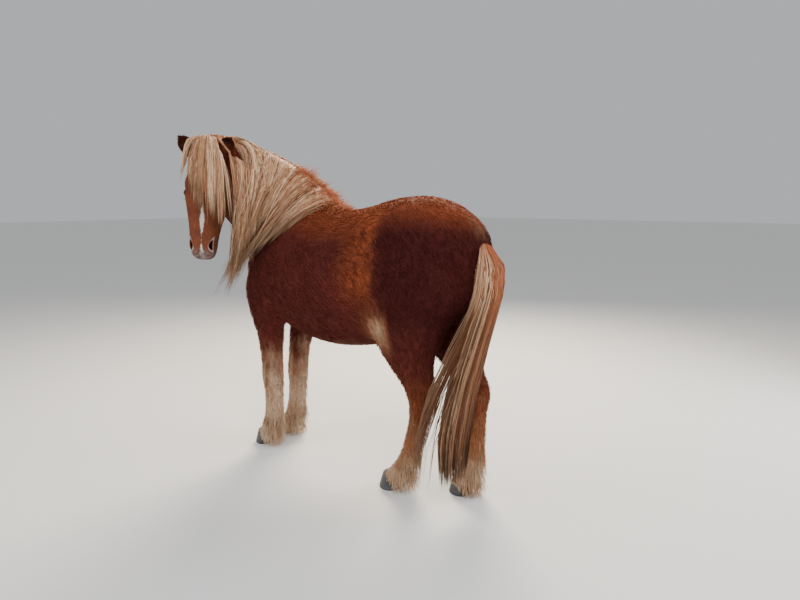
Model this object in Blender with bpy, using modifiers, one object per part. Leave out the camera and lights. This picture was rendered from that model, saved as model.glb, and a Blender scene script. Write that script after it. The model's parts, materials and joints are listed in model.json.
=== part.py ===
"""A life-size Icelandic horse standing still, its head turned back over its left side.

The model stands on the floor at z = 0 and faces -Y, so its left side is at +X. Lengths are in
metres. Inside this file a place is (forward, left, up): forward is counted from the middle of
the two hind feet, left from the middle of the body, and up from the floor.
"""

import math
import random

import bmesh
import bpy
import numpy as np
from mathutils import Matrix, Vector
from mathutils.bvhtree import BVHTree

# Driving sizes
GAP = 0.0003                # between two nodes that touch
NEAR_GAP = 0.95 * GAP       # for hair, so that it isn't cut in the plane of an older cut
VOXEL = 0.006               # grid that melts the forms into one surface
BROAD_ROUNDS = 110          # smoothing of trunk, neck and thighs, where their forms meet
FINE_ROUNDS = 9             # smoothing of the whole, head and legs too
BODY_TRIANGLES = 3000
HEAD_TRIANGLES = 1300
RING_POINTS = 28
SEED = 7

FRONT_FOOT = {"left": (1.075, 0.098), "right": (1.095, -0.084)}      # middle of each hoof
HIND_FOOT = {"left": (0.150, 0.082), "right": (-0.150, -0.082)}
SIDES = {"left": 1.0, "right": -1.0}

POLL = (1.108, 0.382, 1.602)      # the top of the head between the ears, on the head's axis
HEAD_TURN = 132.0                 # degrees from straight ahead to where the face points
HEAD_DROP = 76.0                  # degrees that the face points below level
HEAD_TILT = -3.0                  # degrees that the muzzle swings towards the horse's right
HEAD_LENGTH = 0.576


def place(forward, left, up):
    """The model's own X, Y and Z for a place given as forward, left and up."""
    return Vector((left, -forward, up))


def clear_scene():
    for obj in list(bpy.data.objects):
        bpy.data.objects.remove(obj)


def smooth_rows(rows, steps):
    """Rows of numbers made steps times finer, on a curve through every row."""
    rows = np.array(rows, float)
    padded = np.vstack([2 * rows[0] - rows[1], rows, 2 * rows[-1] - rows[-2]])
    finer = []
    for i in range(1, len(padded) - 2):
        a, b, c, d = padded[i - 1:i + 3]
        for t in np.linspace(0, 1, steps, endpoint=False):
            finer.append(0.5 * (2 * b + (c - a) * t + (2 * a - 5 * b + 4 * c - d) * t**2
                                + (3 * b - a - 3 * c + d) * t**3))
    finer.append(rows[-1])
    return np.array(finer)


def section(centre, side, rise, half_side, half_rise, half_fall, squareness=1.0, lean=0.0):
    """A ring round centre. lean above 0 makes it wider where it rises, below 0 where it falls."""
    ring = []
    for i in range(RING_POINTS):
        angle = 2 * math.pi * i / RING_POINTS
        across, along = math.sin(angle), math.cos(angle)
        across = math.copysign(abs(across) ** squareness, across) * (1 + lean * along)
        along = math.copysign(abs(along) ** squareness, along)
        reach = half_rise if along > 0 else half_fall
        ring.append(centre + side * (across * half_side) + rise * (along * reach))
    return ring


def loft(name, rings):
    """A closed tube through the rings, with a flat cap at each end."""
    bm = bmesh.new()
    rows = [[bm.verts.new(point) for point in ring] for ring in rings]
    count = len(rows[0])
    for low, high in zip(rows, rows[1:]):
        for i in range(count):
            j = (i + 1) % count
            bm.faces.new((low[i], low[j], high[j], high[i]))
    bm.faces.new(reversed(rows[0]))
    bm.faces.new(rows[-1])
    bmesh.ops.recalc_face_normals(bm, faces=bm.faces)
    return add_object(name, bm)


def add_object(name, bm):
    mesh = bpy.data.meshes.new(name)
    bm.to_mesh(mesh)
    bm.free()
    obj = bpy.data.objects.new(name, mesh)
    bpy.context.scene.collection.objects.link(obj)
    return obj


def ellipsoid(name, centre, radii, turn=None, segments=24, rows=16):
    bm = bmesh.new()
    bmesh.ops.create_uvsphere(bm, u_segments=segments, v_segments=rows, radius=1.0)
    shape = Matrix.Diagonal((*radii, 1.0))
    bm.transform(Matrix.Translation(centre) @ (turn or Matrix.Identity(4)) @ shape)
    return add_object(name, bm)


# forward, top, bottom, half width, lean
TRUNK = (
    (-0.298, 1.210, 1.010, 0.060, 0.0),
    (-0.268, 1.272, 0.900, 0.125, 0.0),
    (-0.200, 1.330, 0.850, 0.175, 0.05),
    (-0.100, 1.380, 0.805, 0.212, 0.08),
    (0.020, 1.402, 0.765, 0.238, 0.05),
    (0.160, 1.390, 0.715, 0.255, -0.05),
    (0.320, 1.352, 0.672, 0.278, -0.12),
    (0.480, 1.335, 0.654, 0.286, -0.15),
    (0.640, 1.357, 0.662, 0.268, -0.16),
    (0.780, 1.360, 0.684, 0.240, -0.12),
    (0.900, 1.300, 0.710, 0.212, -0.05),
    (1.010, 1.240, 0.755, 0.196, 0.0),
    (1.095, 1.170, 0.820, 0.168, 0.0),
    (1.150, 1.100, 0.885, 0.110, 0.0),
)


def trunk():
    rings = []
    for forward, top, bottom, half, lean in smooth_rows(TRUNK, 4):
        middle = (top + bottom) / 2
        reach = (top - bottom) / 2
        rings.append(section(place(forward, 0, middle), Vector((1, 0, 0)), Vector((0, 0, 1)),
                             half, reach, reach, 0.90, lean))
    return loft("trunk", rings)


# up, front edge, back edge, left of the body's middle, half width
FORELEG = (
    (1.270, 0.860, 0.700, 0.085, 0.040),
    (1.180, 0.975, 0.720, 0.115, 0.065),
    (1.060, 1.055, 0.755, 0.134, 0.082),
    (0.940, 1.105, 0.790, 0.145, 0.088),
    (0.840, 1.098, 0.825, 0.146, 0.084),
    (0.750, 1.078, 0.855, 0.137, 0.075),
    (0.660, 1.058, 0.885, 0.122, 0.066),
    (0.560, 1.048, 0.910, 0.110, 0.059),
    (0.480, 1.044, 0.918, 0.104, 0.055),
    (0.425, 1.049, 0.918, 0.101, 0.055),
    (0.380, 1.045, 0.917, 0.100, 0.052),
    (0.320, 1.034, 0.918, 0.099, 0.047),
    (0.240, 1.034, 0.917, 0.098, 0.045),
    (0.185, 1.038, 0.914, 0.098, 0.047),
    (0.145, 1.050, 0.915, 0.098, 0.048),
    (0.110, 1.066, 0.938, 0.098, 0.048),
    (0.080, 1.080, 0.966, 0.098, 0.049),
    (0.040, 1.088, 0.986, 0.098, 0.050),
    (0.005, 1.096, 0.996, 0.098, 0.050),
)
FORELEG_FOOT = 1.050        # forward of the hoof's middle in the table above

HINDLEG = (
    (1.290, 0.120, -0.120, 0.080, 0.060),
    (1.200, 0.180, -0.205, 0.110, 0.095),
    (1.080, 0.210, -0.260, 0.125, 0.118),
    (0.960, 0.222, -0.270, 0.130, 0.124),
    (0.870, 0.212, -0.255, 0.131, 0.116),
    (0.790, 0.175, -0.240, 0.130, 0.101),
    (0.720, 0.108, -0.228, 0.124, 0.083),
    (0.650, 0.036, -0.222, 0.116, 0.069),
    (0.580, -0.040, -0.245, 0.109, 0.058),
    (0.530, -0.092, -0.272, 0.105, 0.052),
    (0.480, -0.130, -0.272, 0.101, 0.050),
    (0.430, -0.150, -0.262, 0.097, 0.047),
    (0.370, -0.160, -0.258, 0.093, 0.042),
    (0.270, -0.160, -0.258, 0.089, 0.041),
    (0.200, -0.155, -0.258, 0.087, 0.044),
    (0.155, -0.140, -0.258, 0.085, 0.047),
    (0.115, -0.120, -0.240, 0.083, 0.047),
    (0.080, -0.102, -0.215, 0.082, 0.049),
    (0.040, -0.092, -0.194, 0.082, 0.050),
    (0.005, -0.085, -0.187, 0.082, 0.050),
)
HINDLEG_FOOT = -0.145

# How far each height of a leg is carried towards its foot's place: up, share
FORE_REACH = ((1.27, 0.0), (0.80, 0.05), (0.42, 0.45), (0.15, 0.90), (0.0, 1.0))
HIND_REACH = ((1.29, 0.0), (1.00, 0.04), (0.80, 0.22), (0.50, 0.52), (0.15, 0.86), (0.0, 1.0))


def leg(name, table, reach, foot_forward, foot, side):
    """A leg of level rings, whose lower part leans to where its foot stands."""
    heights, shares = zip(*sorted(reach))
    rings = []
    for up, front, back, left, half in smooth_rows(table, 3):
        share = float(np.interp(up, heights, shares))
        forward = (front + back) / 2 + share * (foot[0] - foot_forward)
        inward = share * (abs(foot[1]) - table[-1][3])
        rings.append(section(place(forward, side * (left + inward), up), Vector((1, 0, 0)),
                             Vector((0, -1, 0)), half, (front - back) / 2, (front - back) / 2, 0.95))
    return loft(name, rings)


# forward, left, up of the axis, then half width, reach to the crest, reach to the throat
NECK = (
    (0.700, 0.000, 1.090, 0.175, 0.285, 0.260),
    (0.850, 0.010, 1.205, 0.158, 0.280, 0.260),
    (0.985, 0.070, 1.340, 0.136, 0.250, 0.235),
    (1.068, 0.170, 1.452, 0.122, 0.214, 0.200),
    (1.108, 0.275, 1.525, 0.112, 0.180, 0.180),
    (1.120, 0.360, 1.560, 0.100, 0.142, 0.160),
    (1.110, 0.420, 1.570, 0.082, 0.105, 0.130),
)


def neck_stations(steps):
    """Places down the neck's axis, each with the way to the horse's left and the way to the crest."""
    rows = smooth_rows(NECK, steps)
    points = [place(*row[:3]) for row in rows]
    stations = []
    for i, row in enumerate(rows):
        along = (points[min(i + 1, len(rows) - 1)] - points[max(i - 1, 0)]).normalized()
        side = Vector((0, 0, 1)).cross(along).normalized()
        stations.append((points[i], side, along.cross(side).normalized(), row[3:]))
    return stations


def neck():
    rings = [section(centre, side, rise, *sizes, 0.95, -0.10)
             for centre, side, rise, sizes in neck_stations(5)]
    return loft("neck", rings)


def head_frame():
    """Turns the head's own axes, side X, towards the muzzle Y and off the face Z, into the model's."""
    turn, drop = math.radians(HEAD_TURN), math.radians(HEAD_DROP)
    ahead = place(math.cos(turn), math.sin(turn), 0)
    along = ahead * math.cos(drop) + Vector((0, 0, -math.sin(drop)))
    face = ahead * math.sin(drop) + Vector((0, 0, math.cos(drop)))
    side = along.cross(face)
    turned = Matrix((side, along, face)).transposed().to_4x4()
    return Matrix.Translation(place(*POLL)) @ turned @ Matrix.Rotation(math.radians(HEAD_TILT), 4, "Z")


# along the head from the poll, height of the face line, height of the jaw line, half width, lean
HEAD = (
    (-0.060, -0.020, -0.130, 0.044, 0.0),
    (-0.035, 0.012, -0.180, 0.068, 0.0),
    (0.030, 0.032, -0.225, 0.086, 0.08),
    (0.090, 0.042, -0.242, 0.103, 0.12),
    (0.150, 0.044, -0.244, 0.113, 0.12),
    (0.210, 0.038, -0.230, 0.109, 0.12),
    (0.270, 0.030, -0.198, 0.090, 0.05),
    (0.330, 0.022, -0.162, 0.069, 0.0),
    (0.390, 0.014, -0.138, 0.060, -0.02),
    (0.440, 0.010, -0.130, 0.060, 0.0),
    (0.485, -0.002, -0.128, 0.064, 0.0),
    (0.520, -0.022, -0.120, 0.057, 0.0),
    (0.540, -0.045, -0.102, 0.036, 0.0),
)


HEAD_SCALE = HEAD_LENGTH / (HEAD[-1][0] - HEAD[0][0])


def on_head(side, along, face):
    """The model's place for a spot given on the head's own axes."""
    return head_frame() @ (HEAD_SCALE * Vector((side, along, face)))


def head_rings():
    frame = head_frame()
    turn = frame.to_3x3()
    side, rise = turn @ Vector((1, 0, 0)), turn @ Vector((0, 0, 1))
    rings = []
    for along, face, jaw, half, lean in smooth_rows(HEAD, 4):
        centre = on_head(0, along, (face + jaw) / 2)
        reach = HEAD_SCALE * (face - jaw) / 2
        rings.append(section(centre, side, rise, HEAD_SCALE * half, reach, reach, 0.85, lean))
    return rings


# Soft forms melted into the head: side, along, face, then their radii the same way
HEAD_FORMS = (
    (0.010, -0.036, 0.000, 0.050, 0.052, 0.042),    # poll, with the short hair between the ears
    (0.072, 0.180, 0.000, 0.032, 0.048, 0.030),     # brow over the eye
    (0.050, 0.165, -0.155, 0.050, 0.095, 0.086),    # cheek
    (0.042, 0.484, -0.034, 0.026, 0.036, 0.032),    # rim of the nostril
    (0.016, 0.510, -0.064, 0.036, 0.032, 0.032),    # upper lip
    (0.010, 0.490, -0.108, 0.034, 0.038, 0.020),    # lower lip
    (0.006, 0.452, -0.120, 0.030, 0.032, 0.019),    # chin
)

# Soft forms melted into the body: left, forward, up, then their radii the same way
BODY_FORMS = (
    (0.065, 1.082, 0.985, 0.085, 0.066, 0.120),     # breast
    (0.060, 0.975, 1.130, 0.105, 0.110, 0.120),     # where the neck comes out of the shoulders
    (0.142, 1.030, 1.030, 0.052, 0.068, 0.090),     # point of the shoulder
    (0.150, 0.200, 1.225, 0.074, 0.110, 0.074),     # hip
    (0.145, 0.165, 0.845, 0.060, 0.055, 0.075),     # stifle
    (0.165, 0.245, 0.815, 0.045, 0.090, 0.075),     # fold of the flank
)


def head_forms():
    turn = head_frame().to_3x3().to_4x4()
    pieces = []
    for side, along, face, *radii in HEAD_FORMS:
        for sign in SIDES.values():
            pieces.append(ellipsoid("form", on_head(sign * side, along, face),
                                    [HEAD_SCALE * radius for radius in radii], turn))
    return pieces


def body_forms():
    pieces = []
    for left, forward, up, *radii in BODY_FORMS:
        for sign in SIDES.values():
            pieces.append(ellipsoid("form", place(forward, sign * left, up), radii))
    return pieces


def apply_modifiers(obj):
    bpy.context.view_layer.update()
    graph = bpy.context.evaluated_depsgraph_get()
    mesh = bpy.data.meshes.new_from_object(obj.evaluated_get(graph))
    obj.modifiers.clear()
    obj.vertex_groups.clear()
    old = obj.data
    obj.data = mesh
    bpy.data.meshes.remove(old)


def vertex_places(obj):
    flat = np.empty(len(obj.data.vertices) * 3)
    obj.data.vertices.foreach_get("co", flat)
    return flat.reshape(-1, 3)


def melt(pieces):
    """One closed surface round the pieces."""
    bm = bmesh.new()
    for piece in pieces:
        bm.from_mesh(piece.data)
        bpy.data.objects.remove(piece)
    melted = add_object("horse", bm)
    remesh = melted.modifiers.new("melt", "REMESH")
    remesh.mode = "VOXEL"
    remesh.voxel_size = VOXEL
    apply_modifiers(melted)
    return melted


def smooth_broadly(obj):
    """Smooths trunk, neck and thighs, and leaves the head and the lower legs."""
    places = vertex_places(obj)
    start, end = (np.array(on_head(0, along, -0.10)) for along in (0.20, 0.54))
    share = np.clip((places - start) @ (end - start) / np.sum((end - start) ** 2), 0, 1)
    from_head = np.linalg.norm(places - start - share[:, None] * (end - start), axis=1)
    weights = np.minimum(np.clip((places[:, 2] - 0.62) / 0.22, 0, 1),
                         np.clip((from_head - 0.13) / 0.08, 0, 1))
    group = obj.vertex_groups.new(name="broad")
    steps = np.round(weights * 12).astype(int)
    for step in range(1, 13):
        group.add(np.flatnonzero(steps == step).tolist(), step / 12, "REPLACE")
    for vertex_group, rounds in (("broad", BROAD_ROUNDS), ("", FINE_ROUNDS)):
        smooth = obj.modifiers.new("smooth", "SMOOTH")
        smooth.factor = 0.5
        smooth.iterations = rounds
        smooth.vertex_group = vertex_group
    apply_modifiers(obj)


def whole_horse():
    pieces = [trunk(), neck(), loft("head", head_rings())] + body_forms() + head_forms()
    for name, side in SIDES.items():
        pieces.append(leg("foreleg", FORELEG, FORE_REACH, FORELEG_FOOT, FRONT_FOOT[name], side))
        pieces.append(leg("hindleg", HINDLEG, HIND_REACH, HINDLEG_FOOT, HIND_FOOT[name], side))
    horse = melt(pieces)
    smooth_broadly(horse)
    return horse


def copy_of(obj, name):
    twin = obj.copy()
    twin.data = obj.data.copy()
    twin.name = name
    bpy.context.scene.collection.objects.link(twin)
    return twin


def thin_out(obj, triangles):
    """Fewer, larger triangles in the same shape."""
    count = sum(len(face.vertices) - 2 for face in obj.data.polygons)
    decimate = obj.modifiers.new("thin out", "DECIMATE")
    decimate.ratio = min(1.0, triangles / count)
    apply_modifiers(obj)


def keep_largest(obj):
    """Drops all but the largest closed surface, and leaves it in triangles."""
    bm = bmesh.new()
    bm.from_mesh(obj.data)
    left = set(bm.faces)
    pieces = []
    while left:
        stack = [left.pop()]
        piece = []
        while stack:
            face = stack.pop()
            piece.append(face)
            for edge in face.edges:
                for other in edge.link_faces:
                    if other in left:
                        left.remove(other)
                        stack.append(other)
        pieces.append(piece)
    pieces.sort(key=lambda faces: sum(face.calc_area() for face in faces))
    for piece in pieces[:-1]:
        bmesh.ops.delete(bm, geom=piece, context="FACES")
    bmesh.ops.triangulate(bm, faces=bm.faces)
    bm.to_mesh(obj.data)
    bm.free()


def combine(obj, others, operation):
    """One Boolean of obj with a collection of closed objects, which are then removed."""
    operands = bpy.data.collections.new("operands")
    bpy.context.scene.collection.children.link(operands)
    for other in others:
        bpy.context.scene.collection.objects.unlink(other)
        operands.objects.link(other)
    boolean = obj.modifiers.new("combine", "BOOLEAN")
    boolean.operation = operation
    boolean.solver = "MANIFOLD"
    boolean.operand_type = "COLLECTION"
    boolean.collection = operands
    apply_modifiers(obj)
    for other in others:
        bpy.data.objects.remove(other)
    bpy.data.collections.remove(operands)
    keep_largest(obj)


def grown_outline(outline, distance):
    """A convex outline moved outward by distance."""
    corners = np.array(outline, float)
    edges = np.roll(corners, -1, axis=0) - corners
    normals = np.column_stack([edges[:, 1], -edges[:, 0]]) / np.linalg.norm(edges, axis=1)[:, None]
    middle = corners.mean(axis=0)
    if np.dot(normals[0], corners[0] - middle) < 0:
        normals = -normals
    before = np.roll(normals, 1, axis=0)
    facing = 1 + np.sum(before * normals, axis=1)
    return corners + distance * (before + normals) / facing[:, None]


def prism(name, outline, spot, half):
    """A closed block with outline's corners, spot giving a corner's place at each end, -half and half."""
    return loft(name, [[spot(across, *corner) for corner in outline] for across in (-half, half)])


# along, face: the block that parts the head from the neck
HEAD_BLOCK = ((-0.078, 0.10), (-0.078, -0.02), (0.105, -0.27), (0.30, -0.29), (0.66, -0.29), (0.66, 0.10))
HEAD_BLOCK_HALF = 0.13


def head_block(name, distance):
    return prism(name, grown_outline(HEAD_BLOCK, distance / HEAD_SCALE), on_head,
                 HEAD_BLOCK_HALF + distance)


# forward, up: the line that parts the neck, with its mane, from the torso
NECK_CUT = ((0.585, 1.370), (1.170, 1.000))


def cut_by_plane(obj, spot, normal):
    """Keeps the part behind the plane, with a flat face where it is cut."""
    bm = bmesh.new()
    bm.from_mesh(obj.data)
    geometry = bm.verts[:] + bm.edges[:] + bm.faces[:]
    bmesh.ops.bisect_plane(bm, geom=geometry, plane_co=spot, plane_no=normal, clear_outer=True)
    edges = [edge for edge in bm.edges if edge.is_boundary]
    bmesh.ops.holes_fill(bm, edges=edges)
    bmesh.ops.triangulate(bm, faces=[face for face in bm.faces if len(face.verts) > 4])
    bm.to_mesh(obj.data)
    bm.free()


def part_by_plane(obj, name, spot, normal):
    """Parts obj at a plane: obj keeps what is behind it, and a new object takes what is in front."""
    front = copy_of(obj, name)
    cut_by_plane(obj, spot - normal * GAP / 2, normal)
    cut_by_plane(front, spot + normal * GAP / 2, -normal)
    return front


# Each leg is taken off the torso in a block: back, front, inner side, outer side, top
LEG_BLOCKS = {"front": (0.84, 1.25, 0.035, 0.36, 0.77), "hind": (-0.40, 0.215, 0.020, 0.36, 0.80)}
JOINT_UP = {"front": 0.470, "hind": 0.520}       # where a leg's upper piece meets the lower one
CORONET_UP = 0.062                               # over the hoof's middle, where horn meets hair
CORONET_SLOPE = 0.32                             # rise for each metre forward
FEET = {"front": FRONT_FOOT, "hind": HIND_FOOT}


def leg_block(end, side, distance):
    back, front, inner, outer, top = LEG_BLOCKS[end]
    middle = side * (inner + outer) / 2
    corners = grown_outline(((back, -0.1), (front, -0.1), (front, top), (back, top)), distance)
    return prism("leg block", corners, lambda across, forward, up: place(forward, middle + across, up),
                 (outer - inner) / 2 + distance)


def coronet(end, name):
    """A spot on the plane between leg and hoof, and the plane's upward normal."""
    forward, left = FEET[end][name]
    normal = Vector((0, CORONET_SLOPE, 1)).normalized()
    return place(forward, left, CORONET_UP), normal


# share of the hoof's height, half length, half width, how far the middle is back from the foot's
HOOF = {
    "front": ((0.0, 0.064, 0.060, 0.0), (0.10, 0.064, 0.060, 0.001), (1.0, 0.0515, 0.0505, 0.010)),
    "hind": ((0.0, 0.064, 0.057, 0.0), (0.10, 0.064, 0.057, 0.001), (1.0, 0.0515, 0.0505, 0.010)),
}
HOOF_POINTS = 24
HEEL_FLATNESS = 0.72        # the heel's reach as a share of the toe's


def hoof(end, name, swell=0.0):
    """Horn from the flat sole on the floor up to the sloping coronet."""
    forward, left = FEET[end][name]
    spot, normal = coronet(end, name)
    rings = []
    for share, half_long, half_wide, back in HOOF[end]:
        ring = []
        for i in range(HOOF_POINTS):
            angle = 2 * math.pi * i / HOOF_POINTS
            reach = half_long + swell if math.cos(angle) > 0 else HEEL_FLATNESS * half_long + swell
            point = place(forward - back + reach * math.cos(angle),
                          left + (half_wide + swell) * math.sin(angle), 0)
            top = spot.z - (point - spot).dot(Vector((normal.x, normal.y, 0))) / normal.z
            point.z = share * (top - GAP / 2 + swell)
            ring.append(point)
        rings.append(ring)
    return loft(f"hoof_{end}_{name}", rings)


EYE = (0.198, -0.030)               # along and face of the eye's middle
EYE_RADIUS = 0.0195
EYE_PROUD = 0.006                   # how far the eye stands out of the head
LID = 0.0045                        # how thick the lids are round the eye
EYE_OPENING = (0.030, 0.0165, 0.0098)       # outward, along the lids, between the lids


def eye_turn(sign):
    """Turns an eye's own axes, outward X and along the lids Y, into the model's."""
    lean = Matrix.Rotation(math.radians(sign * -12), 4, "Z") @ Matrix.Rotation(math.radians(sign * 18), 4, "Y")
    return head_frame().to_3x3().to_4x4() @ lean


def eye_spots(skin):
    """The middle of each eye, by the side it lies to on the head's own axes."""
    spots = {}
    for sign in SIDES.values():
        start, end = on_head(0, *EYE), on_head(sign, *EYE)
        outward = (end - start).normalized()
        spots[sign] = skin.ray_cast(start, outward)[0] + outward * (EYE_PROUD - EYE_RADIUS)
    return spots


def ball(name, centre, radius):
    return ellipsoid(name, centre, (radius, radius, radius), None, 12, 8)


NOSTRIL = (0.050, 0.500, -0.036)            # side, along and face of the middle of its opening
NOSTRIL_RADII = (0.0095, 0.019, 0.024)      # across the slit, down the slit, into the nose


def nostril(sign):
    """A slanted pit like a drop, wider below."""
    turn = head_frame().to_3x3().to_4x4() @ Matrix.Rotation(math.radians(sign * 38), 4, "Z") \
        @ Matrix.Rotation(math.radians(sign * 30), 4, "Y") @ Matrix.Rotation(math.radians(-35), 4, "X")
    return ellipsoid("nostril", on_head(sign * NOSTRIL[0], NOSTRIL[1], NOSTRIL[2]), NOSTRIL_RADII,
                     turn, 10, 6)


# half width, along, face: the line between the lips, from its corner to the front of the muzzle
MOUTH = ((0.080, 0.425, -0.094), (0.070, 0.470, -0.090), (0.055, 0.520, -0.086), (0.030, 0.560, -0.084),
         (0.0, 0.572, -0.083))
MOUTH_DEPTH = 0.006         # how deep the line is cut
MOUTH_WIDTH = 0.0035


def mouth(skin):
    """A thin band swept round the muzzle, that cuts the line of the mouth."""
    corners = [on_head(side, along, face) for side, along, face in smooth_rows(MOUTH, 2)]
    corners += [on_head(-side, along, face) for side, along, face in smooth_rows(MOUTH, 2)[-2::-1]]
    middle = on_head(0, 0.40, -0.088)
    up = (on_head(0, 0, 1) - on_head(0, 0, 0)).normalized()
    rings = []
    for corner in corners:
        inward = (middle - corner).normalized()
        spot = skin.ray_cast(corner, inward)[0] or corner
        width = MOUTH_WIDTH / 2
        rings.append([spot - inward * 0.02 - up * width * 4, spot + inward * MOUTH_DEPTH,
                      spot - inward * 0.02 + up * width * 4])
    return loft("mouth", rings)


def surface(obj):
    """A tree to look up the nearest spot of the object's surface and its normal."""
    bm = bmesh.new()
    bm.from_mesh(obj.data)
    bm.transform(obj.matrix_world)
    tree = BVHTree.FromBMesh(bm)
    bm.free()
    return tree


def carve_head(head, eyes):
    """Adds the lids and cuts the eye openings, the nostrils and the line of the mouth."""
    lids = [ball("lids", spot, EYE_RADIUS + GAP + LID) for spot in eyes.values()]
    combine(head, lids, "UNION")
    cutters = [mouth(surface(head))]
    for sign, spot in eyes.items():
        cutters.append(ball("socket", spot, EYE_RADIUS + GAP))
        outward = eye_turn(sign).to_3x3() @ Vector((sign, 0, 0))
        cutters.append(ellipsoid("opening", spot + outward * EYE_RADIUS, EYE_OPENING,
                                 eye_turn(sign), 12, 6))
        cutters.append(nostril(sign))
    combine(head, cutters, "DIFFERENCE")


EAR_ROOT = (0.072, 0.008, 0.012)      # side, along and face
EAR_LENGTH = 0.145
EAR_WIDTH = 0.038                      # half the widest width, unrolled
EAR_THICKNESS = 0.005
EAR_PRICK = 0.22                       # how far the tips come forward for each metre up
EAR_LEAN = {"left": 16.0, "right": 38.0}     # degrees that an ear leans outward


def ear(name, sign):
    """A pointed cup: a leaf rolled round its length, open to the front, with its root in the head."""
    rows = 7
    columns = 6
    bm = bmesh.new()
    grid = []
    for i in range(rows + 1):
        t = i / rows
        half = EAR_WIDTH * (0.55 + 1.9 * t - 2.45 * t**2.2) if t < 1 else 0.0
        roll = 2.15 - 1.35 * t              # half the angle that the rim is rolled through
        radius = max(half, 0.004) / roll * 1.25
        row = []
        for j in range(columns + 1):
            angle = roll * (2 * j / columns - 1)
            back = radius * (1 - math.cos(angle)) - radius
            row.append(bm.verts.new((radius * math.sin(angle), t * EAR_LENGTH,
                                     back + 0.012 * t**2)))
        grid.append(row)
    for low, high in zip(grid, grid[1:]):
        for j in range(columns):
            bm.faces.new((low[j], low[j + 1], high[j + 1], high[j]))
    head = head_frame()
    turn = head.to_3x3()
    up = turn @ Vector((0, -1, 0))
    out = turn @ Vector((sign, 0, 0))
    length = (up + out * math.tan(math.radians(EAR_LEAN[name])) + turn @ Vector((0, 0, EAR_PRICK)))
    length.normalize()
    facing = turn @ Vector((sign * 0.35, 0, 1))
    across = length.cross(facing).normalized()
    frame = Matrix((across, length, across.cross(length))).transposed().to_4x4()
    root = on_head(sign * EAR_ROOT[0], EAR_ROOT[1], EAR_ROOT[2]) - length * 0.022
    bm.transform(Matrix.Translation(root) @ frame)
    bmesh.ops.recalc_face_normals(bm, faces=bm.faces)
    leaf = add_object(f"ear_{name}", bm)
    thicken = leaf.modifiers.new("thicken", "SOLIDIFY")
    thicken.thickness = EAR_THICKNESS
    thicken.offset = 0.0
    apply_modifiers(leaf)
    return leaf


def swollen(obj, distance):
    """A copy whose surface lies out from obj's by distance."""
    twin = copy_of(obj, "swollen")
    normals = np.empty(len(twin.data.vertices) * 3)
    twin.data.vertices.foreach_get("normal", normals)
    places = vertex_places(twin) + distance * normals.reshape(-1, 3)
    twin.data.vertices.foreach_set("co", places.ravel())
    return twin


STEP_GROWTH = 1.6           # above 1, a lock's steps are shorter near its root
RISE_LENGTH = 0.10          # how far down its length a lock comes clear of the skin


def hang(skin, root, aim, fall, length, clear, stations, turn):
    """The line a lock lies along: it starts at root along aim, turns to fall, and stays clear of the skin.

    Each place comes with the way off the skin there. turn is how far each step turns towards fall.
    """
    point, heading = root, aim.normalized()
    off = skin.find_nearest(root)[1]
    line = [(point, off)]
    reach = length * np.linspace(0, 1, stations) ** STEP_GROWTH
    for start, stop in zip(reach, reach[1:]):
        heading = heading.lerp(fall.normalized(), turn).normalized()
        point = point + heading * float(stop - start)
        spot, normal = skin.find_nearest(point)[:2]
        height = (point - spot).dot(normal)
        rise = clear * min(1.0, float(stop) / RISE_LENGTH)
        if height < rise:
            point = spot + normal * rise
            off = normal
        else:
            off = off.lerp(normal, 0.3).normalized()
        line.append((point, off))
    return line


# Along the crest from the poll 0 to the withers 1
MANE_LENGTH = ((0.0, 0.64), (0.5, 0.72), (0.8, 0.62), (1.0, 0.24))
MANE_SWEEP = ((0.0, 0.0), (0.5, 0.40), (1.0, 1.15))         # forward for each metre down
MANE_SWEEP_WAY = (0.90, 0.43)                               # forward, left
MANE_STATIONS = (27.5, 1.5)                                 # of the neck's 31, at the poll and withers
ROOT_DEPTH = 0.014                                          # how far hair roots are sunk


def crest_spot(skin, u, lean):
    """The place on the neck's top edge, lean degrees down its left side, and the ways off it and left."""
    stations = neck_stations(5)
    index = np.interp(u, (0, 1), MANE_STATIONS)
    low = int(index)
    share = index - low
    centre, side, rise = (stations[low][k].lerp(stations[low + 1][k], share) for k in range(3))
    angle = math.radians(lean)
    spot, normal = skin.ray_cast(centre, rise * math.cos(angle) + side * math.sin(angle))[:2]
    return spot, normal, side


def mane_line(skin, u, lean, way, length_share, clear):
    """The line of a mane lock that grows at u and falls on the neck's left side, or right for way -1."""
    spot, normal, side = crest_spot(skin, u, lean)
    sweep = float(np.interp(u, *zip(*MANE_SWEEP)))
    length = length_share * float(np.interp(u, *zip(*MANE_LENGTH)))
    fall = Vector((0, 0, -1)) + sweep * place(MANE_SWEEP_WAY[0], MANE_SWEEP_WAY[1], 0)
    aim = normal * 0.3 + side * way
    stations = 6 if length > SHORT_LOCK else 4
    return hang(skin, spot - normal * ROOT_DEPTH, aim, fall, length, clear, stations, 0.55)


# Across the forelock from the horse's left 0 to its right 1
FORELOCK_LENGTH = ((0.0, 0.50), (0.5, 0.44), (1.0, 0.36))
FORELOCK_HALF = 0.034           # from the middle of the poll to where the outer locks grow
FORELOCK_SPREAD = ((0.0, 0.03), (0.5, 0.0), (1.0, 0.04))      # outward for each metre down


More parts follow.
